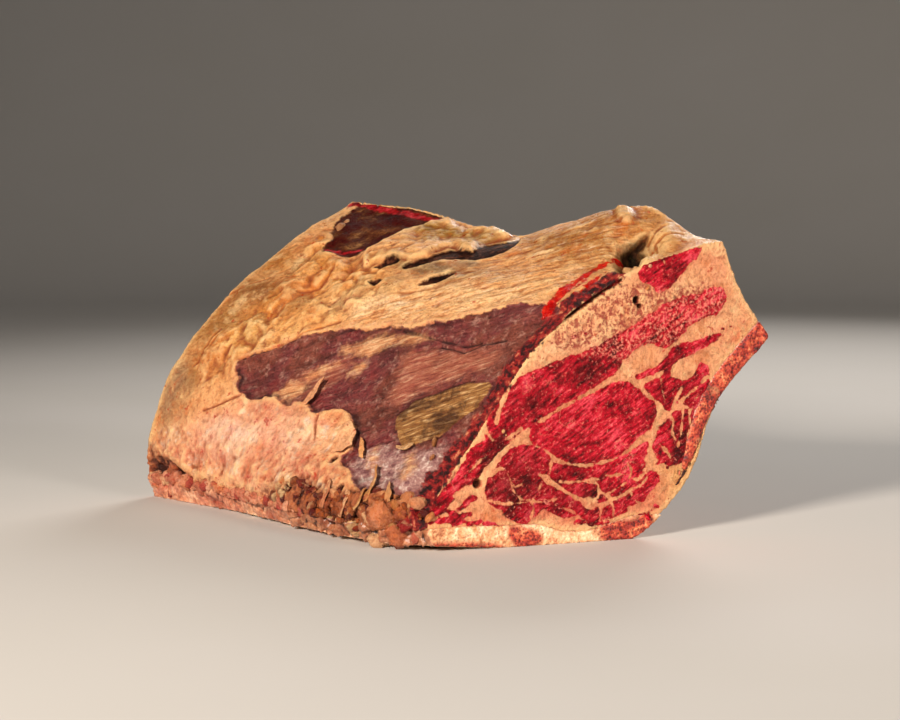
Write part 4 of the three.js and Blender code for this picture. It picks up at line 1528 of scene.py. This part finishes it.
# %% Spine
BONE_SWELL = 0.9
CHINE_TRIANGLES = 90000
RIB_TRIANGLES = 12000
sawn_chine = dense_copy("chine_bone", "sawn_spine", BONE_VOXEL, BONE_SMOOTHING)
chine_points, chine_normals = points_of(sawn_chine), normals_of(sawn_chine)
chine_cut = (behind_cut(chine_points) < 2) & (chine_normals @ cut_out > 0.5)
chine_base = chine_normals[:, 2] < -0.7
OUTER_HALF = 20  # the torn edge lies on the outer half of the spine only
chine_outer = (chine_normals[:, 1] < -0.3) & (chine_points[:, 1] < OUTER_HALF)
chine_outer &= ~chine_cut & ~chine_base
torn_rise, chine_number = torn_lumps(chine_points)
chine_lift = BONE_SWELL + chine_outer * torn_rise + chine_cut * 0.6 * cloud(chine_points, 2.6, 68, 2)
chine_moved = chine_points + chine_lift[:, None] * chine_normals
chine_moved[:, 2] = np.maximum(chine_moved[:, 2], 0)  # the joint stands on the floor
move_points(sawn_chine, chine_moved)

chine_places = on_cut(chine_points)
RED_MARROW = [
    [(508, 523), (520, 527), (538, 530), (545, 540), (535, 548), (515, 548), (507, 538)],
    [
        (596, 528), (612, 520), (634, 518), (650, 510), (656, 522), (640, 540), (615, 544), (598, 540),
    ],
    [(424, 541), (450, 542), (480, 541), (505, 544), (505, 552), (424, 552)],
    [(560, 522), (572, 519), (592, 524), (606, 521), (612, 524), (596, 530), (575, 528)],
]
soft_fat = cut_ring((545, 520), (575, 522), (600, 526), (597, 550), (548, 550))
marrow = np.max([inside(chine_places, cut_ring(*places)) for places in RED_MARROW], axis=0)
marrow = np.where(chine_cut, marrow, 5 * cloud(chine_points, 14, 78, 2) - 1.5)
cushion_fat = inside(chine_places, soft_fat)
chine_tone = tinted(np.tile(np.array(linear("ecb48e")), (len(chine_points), 1)), chine_points, FAT_TINTS_AND_HIGHLIGHTS)
chine_tone = torn_tone(chine_tone, chine_points, chine_number, 0.5 * chine_outer)
chine_tone = tinted(chine_tone, chine_points, LOW_TINTS_AND_SHADE)
set_field(sawn_chine, "fat_tone", chine_tone, "FLOAT_COLOR", "color")
set_field(sawn_chine, "marrow_mm", marrow)
set_field(sawn_chine, "fat_mm", np.where(chine_cut, cushion_fat, OUTSIDE))
set_field(sawn_chine, "outer", chine_outer)
set_field(sawn_chine, "sawn", chine_cut | chine_base)
set_field(sawn_chine, "relief_mm", relief_of(sawn_chine, SMOOTH_PASSES))
print("spine:", thin(sawn_chine, CHINE_TRIANGLES), "faces")

# %% Ribs
ribs = []
END_OUT = np.array([0, 0.85, 0.53])  # the way the sawn rib ends face
END_REACH = 26
for node in sorted(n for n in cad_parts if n.startswith("rib_")):
    rib = dense_copy(node, node.replace("rib", "rib_bone"), BONE_VOXEL, BONE_SMOOTHING)
    rib_points, rib_normals = points_of(rib), normals_of(rib)
    rib_cut = (behind_cut(rib_points) < 1.5) & (rib_normals @ cut_out > 0.6)
    rib_end = (rib_normals @ END_OUT > 0.8) & (rib_points[:, 2] > rib_points[:, 2].max() - END_REACH)
    rib_lift = BONE_SWELL + 0.5 * cloud(rib_points, 9, 88, 2)
    rib_lift += (rib_cut | rib_end) * 0.7 * cloud(rib_points, 3, 89, 2)
    move_points(rib, rib_points + rib_lift[:, None] * rib_normals)
    set_field(rib, "marrow_mm", 6 * cloud(rib_points, 12, 90, 2) + 5)
    set_field(rib, "fat_mm", np.full(len(rib_points), OUTSIDE))
    set_field(rib, "outer", np.zeros(len(rib_points)))
    set_field(rib, "sawn", rib_cut | rib_end)
    set_field(rib, "relief_mm", np.zeros(len(rib_points)))
    thin(rib, RIB_TRIANGLES)
    ribs.append(rib)
print(len(ribs), "ribs,", sum(len(r.data.polygons) for r in ribs), "faces")

# %% [markdown]
# Sawn bone is a sponge: hard cream walls round little pits full of red marrow. A cell pattern with cells
# of two millimetres, a little coarser than life so that it shows, gives walls and pits at once. Where the
# saw didn't go, the bone is smooth and grey pink under a wet membrane. The torn edge has the crumbs of
# the meat above it.

# %% Bone, band-sawn, with membrane
bone, tree = new_material("beef_bone_band_sawn")
where = add(tree, "TexCoord", out="Object")
tint = add(tree, "Attribute", out="Color", attribute_name="fat_tone")
sawn, outside, relief_mm = [read(tree, name) for name in ("sawn", "outer", "relief_mm")]
rough = noise(tree, where, 7, 8, 0.72)
fine_rough = noise(tree, where, 2.2, 4, 0.66)
rough_mm = add(tree, "Math", {0: rough, 1: 0.5}, operation="SUBTRACT")
inlay = {}
for name in ("marrow_mm", "fat_mm"):
    distance = read(tree, name)
    distance = add(tree, "Math", {0: rough_mm, 1: 12.0, 2: distance}, operation="MULTIPLY_ADD")
    inlay[name] = spread(tree, distance, -1.0, 2.0)
pits_at = cells(tree, where, 2.2, "F1")
pitted = spread(tree, pits_at, 0.24, 0.5, 1.0, 0.0)
wall = painted(tree, rough, [(0.36, "a85c38"), (0.45, "e0a070"), (0.52, "f2be90"), (0.6, "fde0b8")])
red_wall = painted(tree, rough, [
    (0.36, "5c0c0c"), (0.46, "a82c20"), (0.55, "d05838"), (0.64, "ee9c6c"),
])
pit_red = painted(tree, rough, [(0.36, "2c0605"), (0.5, "6e160e"), (0.64, "a84428")])
pit_share = spread(tree, rough, 0.42, 0.6, 0.1, 0.6)
pit_share = larger(tree, pit_share, inlay["marrow_mm"])
pit_share = times(tree, pit_share, pitted)
sponge = cover(tree, inlay["marrow_mm"], wall, red_wall)
sponge = cover(tree, pit_share, sponge, pit_red)
fat_wall = painted(tree, rough, [(0.36, "d08660"), (0.48, "f2b88a"), (0.6, "fddcb4")])
sponge = cover(tree, inlay["fat_mm"], sponge, fat_wall)
membrane = painted(tree, rough, [(0.36, "a5605a"), (0.5, "cf9c8e"), (0.64, "ead0be")])
grit_shade = painted(tree, fine_rough, [(0.36, "a87454"), (0.48, "f2e4d8"), (0.56, "ffffff")])
crumb_shade = painted(tree, rough, [(0.36, "54180e"), (0.47, "c48264"), (0.56, "ffffff")])
crumbs = shade(tree, 0.55, tint, crumb_shade)
crumbs = shade(tree, 0.6, crumbs, grit_shade)
# painted shade in the crevices of the torn edge
crevice = spread(tree, relief_mm, -0.9, -0.05, 1.0, 0.0)
crumbs = cover(tree, crevice, crumbs, "34120a")
colour = cover(tree, sawn, membrane, sponge)
colour = cover(tree, outside, colour, crumbs)
roughness = spread(tree, sawn, 0.0, 1.0, 0.28, 0.5)
pit_height = times(tree, pits_at, sawn)
pit_height = add(tree, "Math", {0: pit_height, 1: rough}, operation="ADD")
bumps = add(tree, "Bump", {"Strength": 0.8, "Distance": 0.8 * MM, "Height": pit_height})
surface = add(tree, "BsdfPrincipled", {
    "Base Color": colour,
    "Roughness": roughness,
    "Normal": bumps,
    "IOR": 1.5,
    "Subsurface Weight": 0.08,
    "Subsurface Radius": (1.0, 0.4, 0.25),
    "Subsurface Scale": 2 * MM,
    "Coat Weight": 0.1,
    "Coat Roughness": 0.2,
})
add(tree, "OutputMaterial", {"Surface": surface})
dress(sawn_chine, bone, "sawn_bone", "chine_bone")
for rib in ribs:
    dress(rib, bone, "rib_bone", rib.name.replace("rib_bone", "rib"))
print("bone:", len(tree.nodes), "nodes")

# %% [markdown]
# Some fat has peeled away from the meat in flakes that curl at the free edge, and they throw the small
# dark shadows that make the surface look torn. Relief along the surface can't overhang, so each flake is
# a thin sheet of its own, stretched between a root line on the meat and a free line that is lifted off
# it.

# %% Peeled flakes
def loose_piece(name, points, faces, tone, **given):
    """A mesh with every field that the beef material reads, each off unless it is given."""
    mesh = bpy.data.meshes.new(name)
    mesh.from_pydata(points * MM, [], faces)
    piece = in_scene(name, mesh)
    for field_name in fields:
        off = OUTSIDE if field_name.endswith("_mm") and field_name != "relief_mm" else 0.0
        set_field(piece, field_name, np.broadcast_to(given.get(field_name, off), len(points)))
    set_field(piece, "fibre", points * MM, "FLOAT_VECTOR", "vector")
    set_field(piece, "fat_tone", tone, "FLOAT_COLOR", "color")
    return piece


def way_out(point):
    """The direction straight off the joint at a point of it."""
    found = min((skin.find_nearest(Vector(point * MM)) for skin in skins), key=lambda hit: hit[3])
    return np.array(found[1])


FLAKES = [
    # root line, free line, lift in millimetres, colour
    (
        [(303, 404), (308, 396), (314, 388), (321, 379)],
        [(309, 407), (316, 400), (322, 390), (328, 378)], 4.0, "f2b68a",
    ),
    (
        [(332, 452), (335, 440), (340, 430), (345, 423)],
        [(344, 453), (354, 448), (358, 437), (354, 424)], 2.6, "f0b488",
    ),
    (
        [(359, 457), (360, 448), (361, 437)],
        [(365, 461), (367, 451), (364, 439)], 2.2, "e8a66c",
    ),
    (
        [(363, 502), (368, 490), (373, 479), (377, 466)],
        [(369, 504), (374, 493), (378, 481), (380, 468)], 3.0, "cc9058",
    ),
    (
        [(385, 503), (387, 492), (389, 483)],
        [(391, 503), (394, 494), (392, 485)], 3.0, "d0a070",
    ),
    (
        [(352, 508), (358, 497), (364, 487)],
        [(357, 511), (363, 502), (369, 490)], 2.6, "c48a54",
    ),
    (
        [(396, 444), (404, 446), (413, 442)],
        [(398, 449), (405, 451), (414, 446)], 1.4, "d8b080",
    ),
    (
        [(320, 506), (325, 492), (330, 478)],
        [(326, 508), (331, 494), (335, 481)], 2.4, "cc8460",
    ),
    (
        [(338, 514), (343, 501), (348, 489)],
        [(343, 517), (348, 505), (353, 494)], 2.4, "dca880",
    ),
]
FLAKE_ROWS = 7
FLAKE_STEPS = 5
FLAKE_CLEAR = 0.6  # a flake's root lies this far off the meat
FLAKE_CURL = 1.4  # above 1, the free edge lifts more than the middle
FLAKE_WAVE = 2.0
FLAKE_THICK = 1.0
flake_points, flake_faces, flake_tones = [], [], []
for root, free, raised, colour_hex in FLAKES:
    stops = np.linspace(0, len(root) - 1, (len(root) - 1) * FLAKE_STEPS + 1)
    lines = [
        np.stack([np.interp(stops, range(len(root)), along) for along in zip(*line)], axis=1)
        for line in (root, free)
    ]
    first = len(flake_points)
    for row in np.linspace(0, 1, FLAKE_ROWS):
        for start, end in zip(*lines):
            point = side_point(*(start + row * (end - start)))
            flake_points.append(point + way_out(point) * (FLAKE_CLEAR + raised * row**FLAKE_CURL))
            flake_tones.append(linear(colour_hex))
    wide = len(stops)
    for row, step in itertools.product(range(FLAKE_ROWS - 1), range(wide - 1)):
        corner = first + row * wide + step
        flake_faces.append((corner, corner + 1, corner + wide + 1, corner + wide))
flake_points = np.array(flake_points)
wavy = np.stack([cloud(flake_points, 5, seed, 3) for seed in (101, 102, 103)], axis=1)
flake_points += FLAKE_WAVE * wavy
flakes = loose_piece("peeled_fat_flakes", flake_points, flake_faces, np.array(flake_tones))
thick = flakes.modifiers.new("thickness", "SOLIDIFY")
thick.thickness = FLAKE_THICK * MM
thick.offset = 0
rounder = flakes.modifiers.new("soft_edges", "SUBSURF")
rounder.levels = rounder.render_levels = 2
settle(flakes)
flakes.data.shade_smooth()
dress(flakes, beef, "meat")
print(len(FLAKES), "flakes,", len(flakes.data.polygons), "faces")

# %% [markdown]
# Along the spine, saw and knife have left loose lumps: ends of bone with a red middle, bits of fat and
# scraps of lean. The large ones are placed one by one. Small ones are strewn over the torn edge from a
# seed. Each is a ball stretched, turned and pushed out of round by noise, then sunk a little way in, and
# all are one mesh.

# %% Lumps and crumbs of the torn edge
def ball(detail):
    """Points and faces of a ball one millimetre in radius."""
    shape = bmesh.new()
    bmesh.ops.create_icosphere(shape, subdivisions=detail, radius=1)
    points = np.array([vertex.co[:] for vertex in shape.verts])
    faces = np.array([[vertex.index for vertex in face.verts] for face in shape.faces])
    shape.free()
    return points, faces


LUMPS = [
    # place, radius in millimetres, how far its middle stands out of the joint, colour
    ((356, 531), 9.0, -3.0, "e2cc98"),
    ((357, 528), 5.5, 2.0, "8c1c14"),
    ((379, 513), 9.0, -3.0, "e0a478"),
    ((371, 522), 6.5, -1.5, "dcae84"),
    ((385, 526), 8.5, -3.0, "b48c54"),
    ((378, 541), 7.0, -2.0, "ecd0a0"),
    ((396, 536), 7.5, -2.0, "c88054"),
    ((408, 502), 8.0, -3.0, "d29c6a"),
    ((417, 502), 5.5, -1.0, "e0ae80"),
    ((408, 522), 8.0, -2.5, "9c1c1c"),
    ((412, 535), 6.0, -2.0, "c8745c"),
    ((395, 505), 4.5, -0.5, "c08c50"),
    ((430, 518), 4.5, -1.5, "ecaa68"),
    ((157, 482), 7.5, -3.0, "e0845c"),
    ((170, 490), 5.5, -2.5, "b03c34"),
    ((300, 512), 6.5, -2.5, "d07c68"),
    ((290, 503), 5.0, -2.0, "e2b078"),
    ((282, 482), 4.0, -1.5, "d08c54"),
    ((434, 441), 3.0, -0.8, "a87c48"),
    ((432, 457), 2.8, -0.5, "c09060"),
    ((340, 226), 5.0, -2.0, "c09a68"),
    ((346, 221), 3.4, -1.2, "b89066"),
    ((322, 238), 6.5, -2.5, "e0a248"),
    ((314, 246), 5.5, -2.0, "e8ae60"),
]
CUT_LUMPS = [
    # the same on the near cut
    ((503, 431), 1.6, 0.0, "f0c078"),
    ((506, 435), 1.3, 0.0, "f0c078"),
    ((664, 262), 2.6, -0.6, "f0b488"),
    ((650, 266), 2.0, -0.4, "f4c8a0"),
    ((648, 288), 2.8, -0.6, "e8b070"),
    ((672, 296), 1.8, -0.2, "f4c894"),
]
LEAN_LUMPS = [((648, 516), 4.5, -1.0, "a01820")]
STREWN = 200
STREWN_LEAST, STREWN_RANGE = 1.4, 3.2  # radius in millimetres, small ones most often
draw = np.random.default_rng(20)
CRAG_OVERLAP = 20
torn_spots = np.flatnonzero((crumb > 2) & outer & (behind < CRAG_END + CRAG_OVERLAP))
strewn_at = rest_points[draw.choice(torn_spots, STREWN)]
strewn_sizes = STREWN_LEAST + STREWN_RANGE * draw.random(STREWN) ** 2
strewn_tones = [CRAG_TONES[pick] for pick in draw.integers(0, len(CRAG_TONES), STREWN)]
SEAM_CRUMBS = 260
SEAM_LEAST, SEAM_RANGE = 1.6, 4.4
SEAM_REACH = 4  # they lie where meat and spine meet
far_spots = np.flatnonzero((crumb > 0) & outer & (behind > CRAG_END - CRAG_OVERLAP))[::5]
to_spine = [skins[1].find_nearest(Vector(rest_points[spot] * MM))[3] for spot in far_spots]
seam_spots = far_spots[np.array(to_spine) < SEAM_REACH * MM]
strewn_at = np.concatenate([strewn_at, rest_points[draw.choice(seam_spots, SEAM_CRUMBS)]])
seam_sizes = SEAM_LEAST + SEAM_RANGE * draw.random(SEAM_CRUMBS) ** 2
strewn_sizes = np.concatenate([strewn_sizes, seam_sizes])
strewn_tones += [DRIED_TONES[pick] for pick in draw.integers(0, len(DRIED_TONES), SEAM_CRUMBS)]

lumps = [(side_point(*place), *rest, False) for place, *rest in LUMPS]
for rows, is_lean in ((CUT_LUMPS, False), (LEAN_LUMPS, True)):
    for place, *rest in rows:
        across, height = cut_ring(place)[0]
        at = across * cut_along + height * np.array([0, 0, 1]) + cut_depth * cut_out
        lumps.append((at, *rest, is_lean))
SUNK = 0.2  # a crumb's middle lies this share of its radius inside the joint
strewn = zip(strewn_at, strewn_sizes, strewn_tones)
lumps += [(at, size, -SUNK * size, colour, False) for at, size, colour in strewn]
BIG = 5.5  # lumps over this radius get a finer ball
WELL_INSIDE = 6.0
LUMP_SHADE = (0.78, 0.6, 0.6, 1)  # torn lumps are darker and redder than whole fat
FLATNESS = (0.5, 1.2)  # a crumb is longer one way than another
fine_ball, plain_ball = ball(3), ball(2)
lump_points, lump_faces, lump_tones, lump_lean = [], [], [], []
for at, size, stands, colour_hex, is_lean in lumps:
    points, faces = fine_ball if size > BIG else plain_ball
    spin = np.linalg.qr(draw.normal(size=(3, 3)))[0]
    spin *= np.linalg.det(spin)  # a turn, never a mirror image
    points = size * (points * draw.uniform(*FLATNESS, 3)) @ spin.T
    middle = at + way_out(at) * stands
    swell = 1 + 0.5 * cloud(middle + points, 0.8 * size, 111, 2)
    swell += 0.3 * cloud(middle + points, 2.6, 112, 2)
    lump_faces.append(faces + sum(len(part) for part in lump_points))
    points = middle + points * swell[:, None]
    points[:, 2] = np.maximum(points[:, 2], 0)
    lump_points.append(points)
    lump_tones.append(np.tile(np.multiply(LUMP_SHADE, linear(colour_hex)), (len(points), 1)))
    lump_lean.append(np.full(len(points), WELL_INSIDE if is_lean else OUTSIDE))
lean_lumps = np.concatenate(lump_lean)
crumb_lumps = loose_piece(
    "torn_edge_lumps", np.concatenate(lump_points), np.concatenate(lump_faces), np.concatenate(lump_tones),
    lean_mm=lean_lumps, fresh=(lean_lumps > 0).astype(float),
)
crumb_lumps.data.shade_smooth()
dress(crumb_lumps, beef, "meat")
print(len(lumps), "lumps,", len(crumb_lumps.data.polygons), "faces")

# %% [markdown]
# The joint stands on a plain pale sheet. The sheet is flat under it and curves up far away all round, as
# in a photographer's cove, so that no edge or horizon shows from any side. It is a lathe shape: one
# profile turned once round. Its light colour sends a little light back up, as a table would.

# %% Floor
FLAT_RADIUS = 2.6
COVE_RADIUS = 1.6
WALL_TOP = 3.4
TURNS = 96
FLAT_STEPS = (0.02, 0.8, 1.7)
BENDS = 13
profile = [(step, 0.0) for step in FLAT_STEPS]
for bend_angle in np.linspace(0, np.pi / 2, BENDS):
    out = FLAT_RADIUS + COVE_RADIUS * math.sin(bend_angle)
    profile.append((out, COVE_RADIUS * (1 - math.cos(bend_angle))))
profile += [(FLAT_RADIUS + COVE_RADIUS, WALL_TOP)]
around = np.linspace(0, 2 * np.pi, TURNS, endpoint=False)
sheet_points = [(r * math.cos(a), r * math.sin(a), z) for r, z in profile for a in around]
sheet_faces = []
for row, step in itertools.product(range(len(profile) - 1), range(TURNS)):
    here, after = row * TURNS + step, row * TURNS + (step + 1) % TURNS
    sheet_faces.append((here, after, after + TURNS, here + TURNS))
sheet_faces.append(tuple(reversed(range(TURNS))))
floor_mesh = bpy.data.meshes.new("floor")
floor_mesh.from_pydata(sheet_points, [], sheet_faces)
floor_mesh.shade_smooth()
floor = in_scene("floor", floor_mesh)
paper, tree = new_material("pale_backdrop_paper_matt")
paper_at = add(tree, "TexCoord", out="Object")
fibre_noise = add(tree, "TexNoise", {"Vector": paper_at, "Scale": 3, "Detail": 2})
paper_colour = painted(tree, fibre_noise, [(0.0, "c8c6c2"), (1.0, "cecccb")])
paper_surface = add(tree, "BsdfPrincipled", {
    "Base Color": paper_colour, "Roughness": 0.9, "Specular IOR Level": 0.2,
})
add(tree, "OutputMaterial", {"Surface": paper_surface})
floor_mesh.materials.append(paper)
print("floor:", len(floor_mesh.polygons), "faces")

# %% [markdown]
# The light is a studio's. A soft window on the left is the main one, as in the photograph. A weaker one
# on the right reaches the cut, and one behind lifts the outline. A little even light from all round fills
# the shadows.

# %% Light
AIM_POINT = (0.02, 0, 0.11)
LIGHT_SPREAD = math.radians(80)  # a grid in front of each lamp keeps its light off the sheet below it
LIGHTS = [
    # name, place in metres, width in metres, watts, colour
    ("window_left", (1.16, -2.5, 1.19), 0.55, 25, "fff1e0"),
    ("cut_fill", (2.5, 0.3, 0.95), 0.7, 5.3, "fff3e6"),
    ("window_back", (-1.5, 2.0, 1.2), 1.2, 11, "fff8f0"),
]
for name, place, width, watts, colour_hex in LIGHTS:
    lamp = bpy.data.lights.new(name, "AREA")
    lamp.size, lamp.energy, lamp.color = width, watts, linear(colour_hex)[:3]
    lamp.spread = LIGHT_SPREAD
    light = in_scene(name, lamp)
    light.location = place
    light.rotation_euler = (Vector(AIM_POINT) - Vector(place)).to_track_quat("-Z", "Y").to_euler()
    light.visible_camera = False
world = bpy.data.worlds.new("studio")
world.use_nodes = True
world.node_tree.nodes["Background"].inputs["Color"].default_value = linear("e6e8ec")
world.node_tree.nodes["Background"].inputs["Strength"].default_value = 0.08
bpy.context.scene.world = world
bpy.context.scene.view_settings.view_transform = "Standard"
print(len(LIGHTS), "lights")
